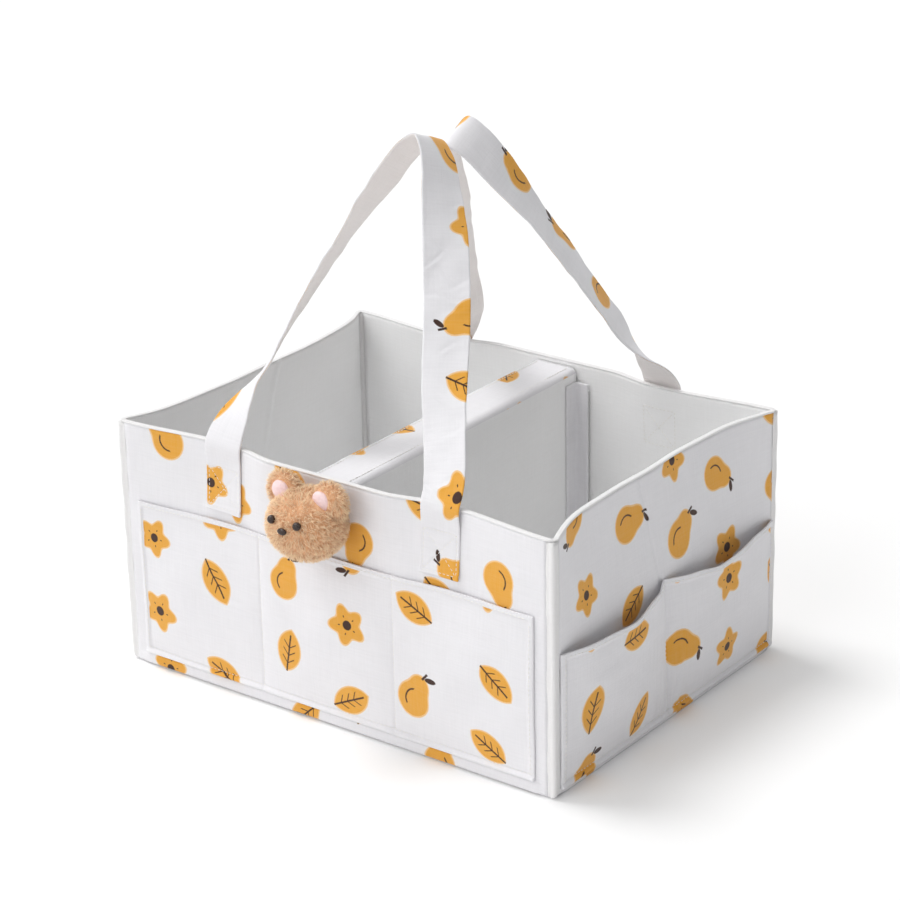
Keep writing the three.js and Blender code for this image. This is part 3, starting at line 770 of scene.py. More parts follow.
# Pockets: one sheet on each wall, sewn down at its sides, bottom and inner seams
POCKET = 0.8 * MM
POCKET_STEP = 2.2 * MM
POCKET_FLAT_POWER = 2.5
POCKET_RISE_POWER = 2.2
POCKET_SEED, PUCKER_SEED = 40, 60
POCKET_WAVE = 0.9 * MM
POCKET_WAVE_LENGTH = 42 * MM
PUCKER_LENGTH = 15 * MM
CLOSE_SHARE = 0.93
SIDE_HEM = 3.8 * MM
TOP_HEM = 3.4 * MM
LOW_HEM = 4.6 * MM
HEM_EDGE = 0.5 * MM
TOP_HEM_EDGE = 0.3 * MM
HEM_PROUD = 1.1 * MM
TOP_PROUD = 0.45 * MM
LOW_PROUD = 2.1 * MM
GROOVE = 0.5 * MM
GROOVE_HALF = 0.8 * MM
PUCKER = 0.3 * MM
PLEAT_TURNS = FULL_TURN / (6.4 * MM)
PLEAT_REACH = 20 * MM
PLEAT_START = (0.5 * MM, 3 * MM)
SEAM_LINES = np.array([-2, -1.2, -0.6, 0, 0.6, 1.2, 2]) * MM
PLEAT_LINES = np.arange(-30, 30.1, 1.2) * MM
POCKET_CLOTH = np.array([0.55, 0.4])
SIDE_STITCH_IN = 0.8 * MM
HEM_STITCH_UP = 0.7 * MM
ROW_END = 1 * MM
SEAM_START = 3 * MM
SIDE_ROW_END = 4 * MM
HEM_ROW_END = 5 * MM
HEM_START, HEM_END = (-134, 106), (134, 106)
LONG_HEM = [(-174, 131), (-60, 132.5), (55, 131.5), (174, 132)]
RIGHT_HEM = [(-93, 104), (-55, 100.5), (-18, 106), (-7, 110), (24, 107), (57, 101.5), (101, 106)]
LEFT_HEM = [(-80, 103), (-30, 104), (0, 108), (40, 103), (90, 102)]

# Bottom, reach, bulge and depth of the pleats of a long and an end pocket, then each one's seams and top
# edge, whose points are in millimetres
LONG_POCKET = (LONG_POCKET_BOTTOM, LONG_POCKET_REACH, 4.5 * MM, 0.3 * MM)
END_POCKET = (END_POCKET_BOTTOM, END_POCKET_REACH, 10 * MM, 1.1 * MM)
POCKETS = {
    "front": ([-62 * MM, 56 * MM], LONG_HEM),
    "back": ([-58 * MM, 58 * MM], LONG_HEM),
    "right": ([-4 * MM], [HEM_START, *RIGHT_HEM, HEM_END]),
    "left": ([0], [HEM_START, *LEFT_HEM, HEM_END]),
}


class Pocket:
    def __init__(self, wall):
        self.wall = wall
        self.inner_seams, hem = POCKETS[wall.name]
        self.hem = np.array(hem) * MM
        self.bottom, self.high, self.bulge, self.pleat = LONG_POCKET if wall.long else END_POCKET
        self.low = -self.high
        self.seams = [self.low, *self.inner_seams, self.high]
        self.waves = ripples(POCKET_SEED + len(wall.name) + len(self.seams), POCKET_WAVE_LENGTH)
        self.fine = ripples(PUCKER_SEED + len(wall.name), PUCKER_LENGTH)

    def top(self, x):
        return eased(self.hem, x)

    def up_share(self, x, z):
        return np.clip((z - self.bottom) / (self.top(x) - self.bottom), 0, 1)

    def from_seam(self, x):
        return np.minimum.reduce([np.abs(x - seam) for seam in self.inner_seams])

    def stand_off(self, x, z):
        """How far the cloth stands from the wall between its seams, with its puckers and pleats."""
        up, away = self.up_share(x, z), self.from_seam(x)
        rise = 1 - (1 - up) ** POCKET_RISE_POWER
        if self.wall.long:
            rise = rise * (1 - CLOSE_SHARE * smooth_step(up, 0.4, 1))
        across = np.interp(x, self.seams, np.arange(len(self.seams))) % 1
        flat = 1 - np.abs(2 * across - 1) ** POCKET_FLAT_POWER
        puckers = PUCKER * (1 + self.fine(x * 0.4, z)) * np.minimum(1, 3 * flat) * smooth_step(up, 0, 0.05)
        folds = 0.5 + 0.5 * np.sin(x * PLEAT_TURNS + 1.5 * self.waves(x, z))
        pleats = self.pleat * folds * bell(away, PLEAT_REACH) * (1 - up) ** 1.2
        pleats = pleats * smooth_step(up, 0, 0.04) * smooth_step(away, *PLEAT_START)
        return flat * rise * (self.bulge + POCKET_WAVE * self.waves(x, z)) + puckers + pleats

    def proud(self, x, z):
        """How far the hems stand off the single cloth."""
        edge = np.minimum(x - self.low, self.high - x)
        side = 0.55 + 0.45 * np.sin(np.clip(edge / SIDE_HEM, 0, 1) * math.pi)
        side = side * fade(edge, SIDE_HEM, SIDE_HEM + HEM_EDGE)
        top = smooth_step(z, self.top(x) - TOP_HEM - TOP_HEM_EDGE, self.top(x) - TOP_HEM)
        low = np.sin(math.pi * np.clip((z - self.bottom) / LOW_HEM, 0, 1) ** 0.6)
        return np.maximum.reduce([HEM_PROUD * side, TOP_PROUD * top, LOW_PROUD * low])

    def groove(self, x, z):
        """How deep the seams' stitches pull the cloth in."""
        return GROOVE * bell(np.minimum(self.from_seam(x), np.abs(z - self.bottom - LOW_HEM)), GROOVE_HALF)

    def inner(self, x, z):
        return GAP + np.maximum(0, self.stand_off(x, z))

    def outer(self, x, z):
        return self.inner(x, z) + POCKET + self.proud(x, z) - self.groove(x, z)

    def columns(self):
        edges = (0, HEM_EDGE, SIDE_HEM, SIDE_HEM + HEM_EDGE)
        hems = [place for edge in edges for place in (self.low + edge, self.high - edge)]
        near = SEAM_LINES if self.wall.long else [*SEAM_LINES, *PLEAT_LINES]
        seams = [seam + place for seam in self.inner_seams for place in near]
        return lines_between([*hems, *seams], POCKET_STEP)

    def build(self):
        across = self.columns()
        height = self.top(across)
        shares = np.concatenate([np.linspace(0, 0.06, 18), np.linspace(0.08, 1, 43)])[:, None]
        body_rows = self.bottom + shares * (height - TOP_HEM - TOP_HEM_EDGE - self.bottom)
        hem_rows = height - TOP_HEM * np.array([1, 0.66, 0.33, 0.06, 0])[:, None]
        z = np.concatenate([body_rows, hem_rows])
        x = np.broadcast_to(across, z.shape)
        uvs = stacked(x, z) + POCKET_CLOTH + self.wall.cloth
        outer, inner = (self.wall.place(x, z, out(x, z), creased=False) for out in (self.outer, self.inner))
        middle = (across[1:] + across[:-1]) / 2
        kinds = np.zeros((len(z) - 1, len(middle)), int)
        kinds[:, np.minimum(middle - self.low, self.high - middle) < SIDE_HEM + HEM_EDGE] = 1
        kinds[len(shares) - 1 :] = 1
        name = self.wall.name
        materials = [printed_canvas, plain_canvas]
        sheet = shell(f"{name}_pocket_sheet", outer, inner, uvs, materials, kinds.ravel())
        parts = [f"_{place}" for place in ("left", "middle", "right")] if self.wall.long else ["s"]
        finish_piece(sheet, "root", "printed_canvas", *(f"{name}_pocket{part}" for part in parts))
        below, sewn = [f"{name}_cover_cloth"], [self.seam_stitches()]

    def line(self, places):
        x, z = places.T
        return self.wall.place(x, z, self.outer(x, z), creased=False), self.wall.outward(len(x))

    def upright(self, x, below_top):
        return polyline((x, self.bottom + SEAM_START), (x, float(self.top(x)) - below_top))

    def seam_stitches(self):
        seam_z = self.bottom + LOW_HEM
        rows = [polyline((self.low + ROW_END, seam_z), (self.high - ROW_END, seam_z))]
        rows += [self.upright(seam, ROW_END) for seam in self.inner_seams]
        side_in = SIDE_HEM - SIDE_STITCH_IN
        rows += [self.upright(edge, SIDE_ROW_END) for edge in (self.low + side_in, self.high - side_in)]
        hem = polyline((self.low + HEM_ROW_END, 0), (self.high - HEM_ROW_END, 0))
        hem[:, 1] = self.top(hem[:, 0]) - TOP_HEM + HEM_STITCH_UP
        name = f"{self.wall.name}_pocket_stitches"
        return stitches(name, [self.line(row) for row in [*rows, hem]], "root", "printed_canvas")


# The stitched square at each end of a strap, on the strap and on the lining behind it
CROSS_LOW, CROSS_HIGH, CROSS_HALF = 142.5 * MM, 172 * MM, 13.6 * MM
BOARD_EDGE = 0.2 * MM


def build_boards(wall, across, up, out):
    axis, side = (0 if wall.long else 1), wall.cos + wall.sin
    for half in ("",) if wall.long else ("_near", "_far"):
        node = f"{wall.name}_board{half}"
        low, high = sorted(side * corner[axis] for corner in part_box(node))
        lines = [low, *(line for line in across if low + BOARD_EDGE < line < high - BOARD_EDGE), high]
        finish_piece(wall.sheet(f"{node}_panel", lines, up, out, BOARD, board), "root", "board", node)


def lining_stitches(wall, out):
    rows = []
    for side in (-1, 1):
        for path in boxed_cross(side * STRAP_OFFSET, CROSS_LOW, CROSS_HIGH, CROSS_HALF):
            rows.append((wall.place(path[:, 0], path[:, 1], out), -wall.outward(len(path))))
    return stitches(f"{wall.name}_lining_stitches", rows, "root", "lining")


def build_wall(wall):
    across, up = wall.lines()
    lining_out = -COVER - GAP - BOARD - GAP
    cover = wall.sheet(f"{wall.name}_cover_cloth", across, up, 0, COVER, printed_canvas)
    finish_piece(cover, "root", "printed_canvas", f"{wall.name}_cover")
    build_boards(wall, across, up, -COVER - GAP)
    lining = wall.sheet(f"{wall.name}_lining_cloth", across, up, lining_out, LINING, lining_cloth)
    finish_piece(lining, "root", "lining", f"{wall.name}_lining")
    binding = [build_rim(wall)]
    inside_rows = [lining_stitches(wall, lining_out - LINING)] if wall.long else []


# Rim bindings: a strip folded over the wall's top, turned round half of each corner
RIM_ROUND = 0.8 * MM
RIM_PROUD = 0.2 * MM
RIM_TAPE = 0.17 * MM
RIM_LEG_BOTTOM = RIM - 1.3 * MM
RIM_LEG_PROUD = 0.12 * MM
RIM_LEG_THICK = 0.1 * MM
RIM_SEED = 90
RIM_LUMP = 0.12 * MM
RIM_LUMP_LENGTH = 16 * MM
RIM_STEP = 2.5 * MM
RIM_CORNER = 5 * MM
RIM_CORNER_SHARES = np.linspace(0.12, 0.985, 7)


def rim_profile():
    """Closed outline of the folded strip, as (out, height)."""

    def fold(inset):
        height, radius = RIM - RIM_ROUND, RIM_ROUND - inset
        right = arc(RIM_PROUD - RIM_ROUND, height, radius, 6)
        left = arc(RIM_ROUND - WALL - RIM_PROUD, height, radius, 6, QUARTER_TURN)
        leg_out = RIM_LEG_PROUD - inset / RIM_TAPE * RIM_LEG_THICK
        return [(leg_out, RIM_LEG_BOTTOM), *right, *left, (-WALL - leg_out, RIM_LEG_BOTTOM)]

    return np.array(fold(0) + fold(RIM_TAPE)[::-1])


def build_rim(wall):
    profile = rim_profile()
    out, z = profile.T
    lumps = ripples(RIM_SEED + len(wall.name), RIM_LUMP_LENGTH)
    end = wall.span - RIM_CORNER
    lumpy = (z < RIM - RIM_ROUND) * np.where(out > -WALL / 2, 1, -1)

    def corner_ring(side, share):
        angle, radius = share * math.pi / 4, RIM_CORNER + out
        x = side * (end + radius * math.sin(angle))
        return wall.turned(x, -(wall.half - RIM_CORNER + radius * math.cos(angle)), z)

    rings = [corner_ring(-1, share) for share in RIM_CORNER_SHARES[::-1]]
    for x in lines_between([-end, -wall.reach, wall.reach, end], RIM_STEP):
        swell = np.maximum(0, RIM_LUMP * lumps(x, z) * lumpy)
        pull = wall.pull(np.clip(x, -wall.reach, wall.reach), z, creased=False)
        rings.append(wall.turned(x, -(wall.half + out + swell - pull), z))
    rings += [corner_ring(1, share) for share in RIM_CORNER_SHARES]
    uvs = stacked(np.arange(len(rings))[:, None] * RIM_STEP, distances(profile))
    binding = loft(f"{wall.name}_rim_tape", np.array(rings), uvs, [tape_cloth])
    return finish_piece(binding, "root", "binding", f"{wall.name}_rim_binding")


# Corner tapes: a rounded ridge up each corner, with a thin edge on both walls
CORNER_WIDTH = 5.5 * MM
CORNER_ROUND = 1.9 * MM
CORNER_FLANGE = 0.7 * MM
CORNER_PROUD = 0.7 * MM
CORNER_FLAT_SHARE = 0.45
CORNER_FOOT = 0.12 * MM
CORNER_INSIDE = 0.5 * MM
CORNER_LUMP = 0.22 * MM
CORNER_LUMP_LENGTH = 30 * MM
CORNER_STEP = 3.5 * MM
CORNER_CLOTH = 0.8 * MM


def corner_outline():
    """Outline of the tape seen from above, measured from the caddy's square corner."""
    width, foot, end = CORNER_WIDTH, CORNER_FOOT, -CORNER_WIDTH - CORNER_FLANGE
    slope = [(foot, end)]
    for share in np.linspace(0.1, 0.97, 8):
        rise = (CORNER_PROUD - 1.6 * foot) * smooth_step(share, CORNER_FLAT_SHARE, 1)
        slope.append((1.6 * foot + rise, -width + (width - CORNER_ROUND) * share))
    side = [(-CORNER_INSIDE, -width), (foot / 2, -width), (foot / 2, end), *slope]
    middle = CORNER_PROUD - CORNER_ROUND
    other = [(y, x) for x, y in side[::-1]]
    return np.array([(-width, -width), *side, *arc(middle, middle, CORNER_ROUND, 8), *other])


def build_corner(node, side_x, side_y):
    name = f"{node}_tape"
    outline = corner_outline()
    levels = lines_between([WALL_BOTTOM, *BOTTOM_LINES, RIM_LEG_BOTTOM - GAP], CORNER_STEP)
    wave = ripples(len(name), CORNER_LUMP_LENGTH)
    rings = []
    for z in levels:
        lump = CORNER_LUMP * (1 + wave(10 * MM, z))
        inset = np.array([bottom_tuck(z, END_BOTTOM_ROUND), bottom_tuck(z, LONG_BOTTOM_ROUND)]) + lump
        x, y = (outline - inset * np.clip(1 + outline / CORNER_WIDTH, 0, 1)).T
        rings.append(stacked(side_x * (HALF_WIDTH + x), side_y * (HALF_DEPTH + y), z))
    uvs = stacked(np.arange(len(outline)) * CORNER_CLOTH, levels[:, None])
    finish_piece(loft(name, np.array(rings), uvs, [tape_cloth]), "root", "binding", node)


# Floor sheets
FLOOR_CORNER = 7 * MM
FLOOR_INSET = 0.8 * MM
FLOOR_ROUND = [(3, 0), (1.875, 0.15), (1.25, 0.5), (1, 1)]
FLOOR_SEED = 5
FLOOR_WAVE = 0.45 * MM
FLOOR_WAVE_LENGTH = 110 * MM
FLOOR_WAVE_REACH = 20 * MM
FLOOR_WAVE_FROM = (22 * MM, 44 * MM)


def rounded_rectangle(half_x, half_y):
    points = []
    for quarter, (side_x, side_y) in enumerate(((1, 1), (-1, 1), (-1, -1), (1, -1))):
        x, y = side_x * (half_x - FLOOR_CORNER), side_y * (half_y - FLOOR_CORNER)
        points += arc(x, y, FLOOR_CORNER, 8, quarter * QUARTER_TURN)
    return np.array(points)


def build_floor():
    rings = []
    for inset, up in FLOOR_ROUND:
        outline = rounded_rectangle(HALF_WIDTH - inset * FLOOR_INSET, HALF_DEPTH - inset * FLOOR_INSET)
        rings.append(stacked(*outline.T, up * BASE_COVER))
    rings = np.array(rings)
    cover = loft("base_cover_cloth", rings, rings[:, :, :2], [plain_canvas])
    finish_piece(cover, "root", "base_canvas", "base_cover")
    low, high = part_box("base_lining")
    x, y = np.meshgrid(np.linspace(low.x, high.x, 72), np.linspace(low.y, high.y, 54))
    mask = smooth_step(np.abs(x), *FLOOR_WAVE_FROM) * fade(np.abs(x), high.x - FLOOR_WAVE_REACH, high.x)
    mask = mask * fade(np.abs(y), high.y - FLOOR_WAVE_REACH, high.y)
    lift = FLOOR_WAVE * (1 + ripples(FLOOR_SEED, FLOOR_WAVE_LENGTH)(x, y)) * mask
    top, under = (stacked(x, y, level + lift) for level in (high.z, low.z))
    lining = shell("base_lining_cloth", top, under, stacked(x, y), [lining_cloth])
    finish_piece(lining, "root", "lining", "base_lining")


# Strap handles, each one ribbon from one sewn end over its route to the other. A route's rows are shares of
# its rise and of its distance from the middle, and a turn's are shares of its length and of a quarter turn.
STRAP = 1.8 * MM
STRAP_STEP = 1.6 * MM
STRAP_RISE = 241 * MM
LEAN = math.radians(29.74)
ROUTE_SHARES = [[0, 1], [0.06, 0.985], [0.284, 0.79], [0.564, 0.566], [0.832, 0.29], [0.963, 0.118], [1, 0]]
HINGE = np.array([0, -HINGE_OUT, RIM])
FACE = np.array([0.0, -1, 0])
MIRROR = np.array([-1, 1, 1])
FOLD_HALF = 4 * MM
FOOT_TOP = 186 * MM
FOOT_STEP = 2 * MM
FOOT_FREE = (176 * MM, FOOT_TOP)
BINDING_STEP = (178 * MM, 185 * MM)
EDGE_SHARE = 0.06
EDGE_THIN = 0.02
CROSS_GROOVE = 0.4 * MM
CROSS_GROOVE_HALF = 0.7 * MM
SEWN_STEP = 0.8 * MM
SEWN_CLEAR = 2 * MM
END_FOLD = (3.6 * MM, 4.2 * MM)
END_FOLD_THICK = 0.8 * MM
CREASES_FROM = (52 * MM, 66 * MM)
FINE_CREASE, FINE_CREASE_LENGTH, FINE_CREASE_ACROSS = 0.4 * MM, 17 * MM, 9 * MM
BROAD_CREASE, BROAD_CREASE_LENGTH, BROAD_CREASE_ACROSS = 0.45 * MM, 60 * MM, 20 * MM
PINCH_HALF = 1.3 * MM
PINCH_SIDE = 2 * MM
PINCH_SIDE_AT = 2.4 * MM
PINCH_CURL = 1.2 * MM
BACK_CLOTH_SHIFT = 2.4
SEED_CLOTH = 19 * MM
STRAP_PLACES = [0, *np.arange(0.07, 0.72, 0.08), 0.78, 0.83, 0.87, 0.91, 0.94, 0.975, 1]

# A pinch is its share of the strap's length, its middle across it, its slant in millimetres, its reach
# across it and its depth in millimetres
STRAPS = {
    "front": {
        "seed": 21,
        "side": 1,
        "cloth": 0.105,
        "turns": [[0, 0], [0.12, 0.58], [0.3, 0.74], [0.45, 0.97], [0.75, 0.32], [0.92, 0.05], [1, 0]],
        "bows": (0, 0),
        "sag": 0,
        "pinches": [
            (0.2, 0.3, 8, 0.6, 0.4), (0.28, -0.3, -9, 0.5, 0.4), (0.36, 0.4, 10, 0.5, 0.4),
            (0.585, -0.5, 9, 0.5, 0.4), (0.63, 0.3, -14, 0.5, 0.5), (0.648, 0.5, 16, 0.5, 0.6),
            (0.662, 0.1, -12, 0.4, 0.6), (0.676, -0.6, 5, 0.5, 0.5), (0.691, 0, -3, 0.9, 0.7),
            (0.703, -0.4, 6, 0.5, 0.5), (0.72, 0.4, -6, 0.6, 0.5), (0.745, -0.2, 8, 0.6, 0.4),
            (0.8, 0.3, -9, 0.5, 0.4), (0.84, -0.4, 7, 0.5, 0.4), (0.893, -0.1, 3, 0.9, 0.5),
            (0.905, 0.2, -6, 0.6, 0.6),
        ],
    },
    "back": {
        "seed": 34,
        "side": -1,
        "cloth": 0.196,
        "turns": [
            [0, 0], [0.12, 0.65], [0.3, 0.67], [0.45, 0.96], [0.6, 1.03], [0.84, 0.9], [0.93, 0.62], [1, 0],
        ],
        "bows": (3 * MM, 15.5 * MM),
        "sag": 5.5 * MM,
        "pinches": [
            (0.12, 0.1, 5, 0.8, 0.5), (0.17, -0.4, 8, 0.5, 0.4), (0.24, 0.4, -9, 0.5, 0.4),
            (0.33, -0.2, 10, 0.6, 0.4), (0.42, 0.4, -8, 0.5, 0.4), (0.55, -0.3, 9, 0.5, 0.4),
            (0.68, 0.4, -8, 0.5, 0.4), (0.8, -0.2, 7, 0.6, 0.4),
        ],
    },
}


def curve_between(before, start, end, after):
    """Points of a smooth curve through four knots, from start to just before end."""
    t = np.linspace(0, 1, 60, endpoint=False)[:, None]
    pairs = ((before, start), (start, end), (end, after))
    first, middle, last = (np.linalg.norm(b - a) ** 0.5 for a, b in pairs)
    step = end - start
    leaving = step + ((start - before) / first - (end - before) / (first + middle)) * middle
    coming = step + ((after - end) / last - (after - start) / (middle + last)) * middle
    square, cube = 3 * step - 2 * leaving - coming, leaving + coming - 2 * step
    return start + leaving * t + square * t**2 + cube * t**3


def strap_route(bows, sag):
    """The strap's centre line above the hinge, in the hinge's own frame.

    bows are how far its two legs curve inwards, and sag is how far its apex comes down.
    """
    side = [(-out * STRAP_OFFSET, 0, height * STRAP_RISE) for height, out in ROUTE_SHARES]
    knots = np.array(side + [(-x, y, z) for x, y, z in side[-2::-1]])
    knots = np.concatenate([[2 * knots[0] - knots[1]], knots, [2 * knots[-1] - knots[-2]]])
    runs = [curve_between(*knots[at : at + 4]) for at in range(len(knots) - 3)]
    points = np.concatenate([*runs, [knots[-2]]])
    x, height = points[:, 0], points[:, 2] / STRAP_RISE
    bow = np.where(x < 0, *bows) * smooth_step(height, 0, 0.12) * fade(height, 0.6, 0.98)
    points[:, 0] -= np.sign(x) * np.minimum(np.abs(x), bow)
    points[:, 2] -= sag * smooth_step(height, 0.7, 1)
    return points


def leaned(vectors):
    """From the hinge's own frame to the lean that a strap has at rest."""
    x, y, z = np.moveaxis(vectors, -1, 0)
    sin, cos = math.sin(LEAN), math.cos(LEAN)
    return stacked(x, y * cos + z * sin, z * cos - y * sin)


def strap_loop(shape):
    """Centre line, width and thickness directions of the strap above its folds."""
    route = strap_route(shape["bows"], shape["sag"])
    distance = distances(route)
    along = lines_between([FOLD_HALF, distance[-1] - FOLD_HALF], STRAP_STEP)
    ahead, behind = (read_along(route, distance, along + look) for look in (MM, -MM))
    tangent = unit(ahead - behind)
    turn = eased(shape["turns"], along / distance[-1])[:, None] * QUARTER_TURN
    wide = unit(unit(np.cross(tangent, FACE)) * np.cos(turn) + FACE * np.sin(turn))
    centre = HINGE + leaned(read_along(route, distance, along))
    return centre, leaned(wide), leaned(unit(np.cross(wide, tangent)))


def strap_foot(wall):
    """Centre line of the sewn end up to the fold over the rim, and how firmly it lies on the wall."""
    z = lines_between([PATCH_LOW.z, FOOT_TOP], FOOT_STEP)
    x = np.full(len(z), -STRAP_OFFSET)
    free = smooth_step(z, *FOOT_FREE)
    seat = GAP + BINDING_PROUD * smooth_step(z, *BINDING_STEP) + STRAP / 2
    y = -(wall.half + seat - wall.pull(x, z)) * (1 - free) - HINGE_OUT * free
    return stacked(x, y, z), 1 - free


def strap_fold(start, finish):
    """Centre line and thickness directions of the fold over the rim."""
    knee = np.array([-STRAP_OFFSET, -HINGE_OUT, RIM])
    t = np.linspace(0, 1, 7)[1:-1, None]
    lean = t * math.sin(LEAN)
    centre = start * (1 - t) ** 2 + 2 * knee * t * (1 - t) + finish * t**2
    return centre, np.concatenate([0 * t, -np.sqrt(1 - lean**2), lean], axis=1)


def cross_groove(up, w):
    """How much the stitched square and its diagonals press in, at a height above the strap's end."""
    half_tall = (CROSS_HIGH - CROSS_LOW) / 2
    x, rise = w * STRAP_HALF_WIDTH, up + PATCH_LOW.z - CROSS_LOW - half_tall
    slope = half_tall / CROSS_HALF
    beyond = np.maximum(np.abs(x) - CROSS_HALF, np.abs(rise) - half_tall)
    diagonal = np.minimum(np.abs(rise - slope * x), np.abs(rise + slope * x)) / math.hypot(1, slope)
    return bell(np.where(beyond > 0, beyond, np.minimum(-beyond, diagonal)), CROSS_GROOVE_HALF)


class Strap:
    """Centre line, width and thickness directions of a strap, as rows from one sewn end to the other."""

    def __init__(self, wall, shape):
        self.wall, self.pinches = wall, shape["pinches"]
        foot, held = strap_foot(wall)
        loop, wide, thin = strap_loop(shape)
        fold, fold_thin = strap_fold(foot[-1], loop[0])
        side = np.concatenate([foot, fold])
        side_thin = np.concatenate([np.tile(FACE, (len(foot), 1)), fold_thin])
        across = np.tile([1.0, 0, 0], (len(side), 1))
        self.centre = np.concatenate([side, loop, side[::-1] * MIRROR])
        self.wide = np.concatenate([across, wide, -across])
        self.thin = np.concatenate([side_thin, thin, side_thin[::-1] * MIRROR])
        self.on_wall = np.concatenate([held, np.zeros(2 * len(fold) + len(loop)), held[::-1]])[:, None]
        self.along = distances(self.centre)
        self.creases = ripples(shape["seed"], FINE_CREASE_LENGTH, 12)
        self.broad = ripples(shape["seed"] + 1, BROAD_CREASE_LENGTH)

    def surface(self, at, w, face):
        """Points and normals at distances along the strap and shares w of its half width.

        face is 1 for its outer face and -1 for its inner one.
        """
        at, w = np.broadcast_arrays(at, w)
        rows = (self.centre, self.wide, self.thin, self.on_wall)
        centre, wide, thin, on_wall = (read_along(values, self.along, at) for values in rows)
        thin, on_wall = unit(thin), on_wall[..., 0]
        x, z = centre[..., 0], centre[..., 2]
        bend = (self.wall.pull(x, z) - self.wall.pull(x + w * wide[..., 0] * STRAP_HALF_WIDTH, z)) * on_wall
        end = np.minimum(at, self.along[-1] - at)
        fine = FINE_CREASE * self.creases(at, w * FINE_CREASE_ACROSS)
        broad = BROAD_CREASE * self.broad(at, w * BROAD_CREASE_ACROSS)
        crease = ((fine + broad) * smooth_step(end, *CREASES_FROM) + self.pinched(at, w)) * (1 - on_wall)
        edge = np.clip((np.abs(w) - 1 + EDGE_SHARE) / EDGE_SHARE, 0, 1)
        half = STRAP / 2 * np.sqrt(np.maximum(EDGE_THIN, 1 - edge**2)) - CROSS_GROOVE * cross_groove(end, w)
        turned_end = END_FOLD_THICK * fade(end, *END_FOLD) * (face > 0)
        points = centre + wide * (w * STRAP_HALF_WIDTH)[..., None]
        return points + thin * (bend + crease + face * half + turned_end)[..., None], thin * face

    def pinched(self, at, w):
        """Short sharp creases, each with a raised side."""
        height = 0
        for share, middle, slant, reach, depth in self.pinches:
            slanted = slant * MM * (w - middle) + PINCH_CURL * np.sin(4 * w + share * 50)
            past = at - share * self.along[-1] - slanted
            fold = 0.7 * bell(past - PINCH_SIDE_AT, PINCH_SIDE) - bell(past, PINCH_HALF)
            height = height + depth * MM * bell(w - middle, reach) * fold
        return height


def build_strap(name, shape):
    strap = Strap(WALLS[0], shape)
    side = np.array([shape["side"], shape["side"], 1])
    places = np.array([*(-np.array(STRAP_PLACES[:0:-1])), *STRAP_PLACES])
    total = strap.along[-1]
    sewn_part = np.arange(0, CROSS_HIGH - PATCH_LOW.z + SEWN_CLEAR, SEWN_STEP)
    between = strap.along[(strap.along > sewn_part[-1]) & (strap.along < total - sewn_part[-1])]
    at = np.concatenate([sewn_part, between, total - sewn_part[::-1]])[:, None]
    outer, _ = strap.surface(at, places, 1)
    inner, _ = strap.surface(at, places[::-1], -1)
    across = np.concatenate([places, places[::-1] + BACK_CLOTH_SHIFT]) * STRAP_HALF_WIDTH + shape["cloth"]
    uvs = stacked(across, at + shape["seed"] * SEED_CLOTH)
    kinds = [0] * len(places) + [1] * (len(places) - 1) + [0]
    rings = np.concatenate([outer, inner], axis=1) * side
    ribbon = loft(f"{name}_strap", rings, uvs, [printed_canvas, strap_back], kinds)
    patches = [f"{name}_strap_patch_{end}" for end in ("left", "right")]
    finish_piece(ribbon, None, "strap", f"{name}_handle", *patches)
    rows = []
    for from_end in (False, True):
        for path in boxed_cross(0, CROSS_LOW - PATCH_LOW.z, CROSS_HIGH - PATCH_LOW.z, CROSS_HALF):
            w, along = path[:, 0] / STRAP_HALF_WIDTH, path[:, 1]
            points, normals = strap.surface(total - along if from_end else along, w, 1)
            rows.append((points * side, normals * side))
    sewn = stitches(f"{name}_strap_stitches", rows, None, "strap")
    start = (0, -shape["side"] * HINGE_OUT, RIM)
    for part in (ribbon, sewn):
        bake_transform(part)


# Divider: a sheet folded over a flat top, bent tabs at its ends
COVER_FOLD, LINING_FOLD = 5 * MM, 2 * MM
DIVIDER_SEED = 3
DIVIDER_SWELL = 0.9 * MM
DIVIDER_WAVE_LENGTH = 70 * MM
DIVIDER_STEP = 4 * MM
DIVIDER_CLOTH = np.array([0.77, 0.36])
SWELL_END = (38 * MM, 24 * MM)
SWELL_START = (8 * MM, 30 * MM)
TAB = 0.8 * MM
TAB_BEND = 3 * MM + TAB / 2
TAB_HEM = (3.6 * MM, 3.2 * MM)
TAB_HEM_THICK = 0.4 * MM
TOP_ROW_IN = 5.5 * MM
TOP_ROW_END = 4 * MM
TOP_ROW_UP = 0.45 * MM
TOP_ROW_STEP = 0.8 * MM


def folded_path(half_width, low, high, fold):
    """Outline of a folded sheet's outer face, from one lower edge over the top to the other."""
    side = [(half_width, z) for z in lines_between([low, high - fold], DIVIDER_STEP)]
    side += arc(half_width - fold, high - fold, fold, 7)[1:-1]
    flat = [(x, high) for x in lines_between([fold - half_width, half_width - fold], DIVIDER_STEP)[::-1]]
    return np.array(side + flat + [(-x, z) for x, z in side[::-1]])


def path_normals(path):
    tangent = unit(np.gradient(path, axis=0))
    return stacked(tangent[:, 1], -tangent[:, 0])


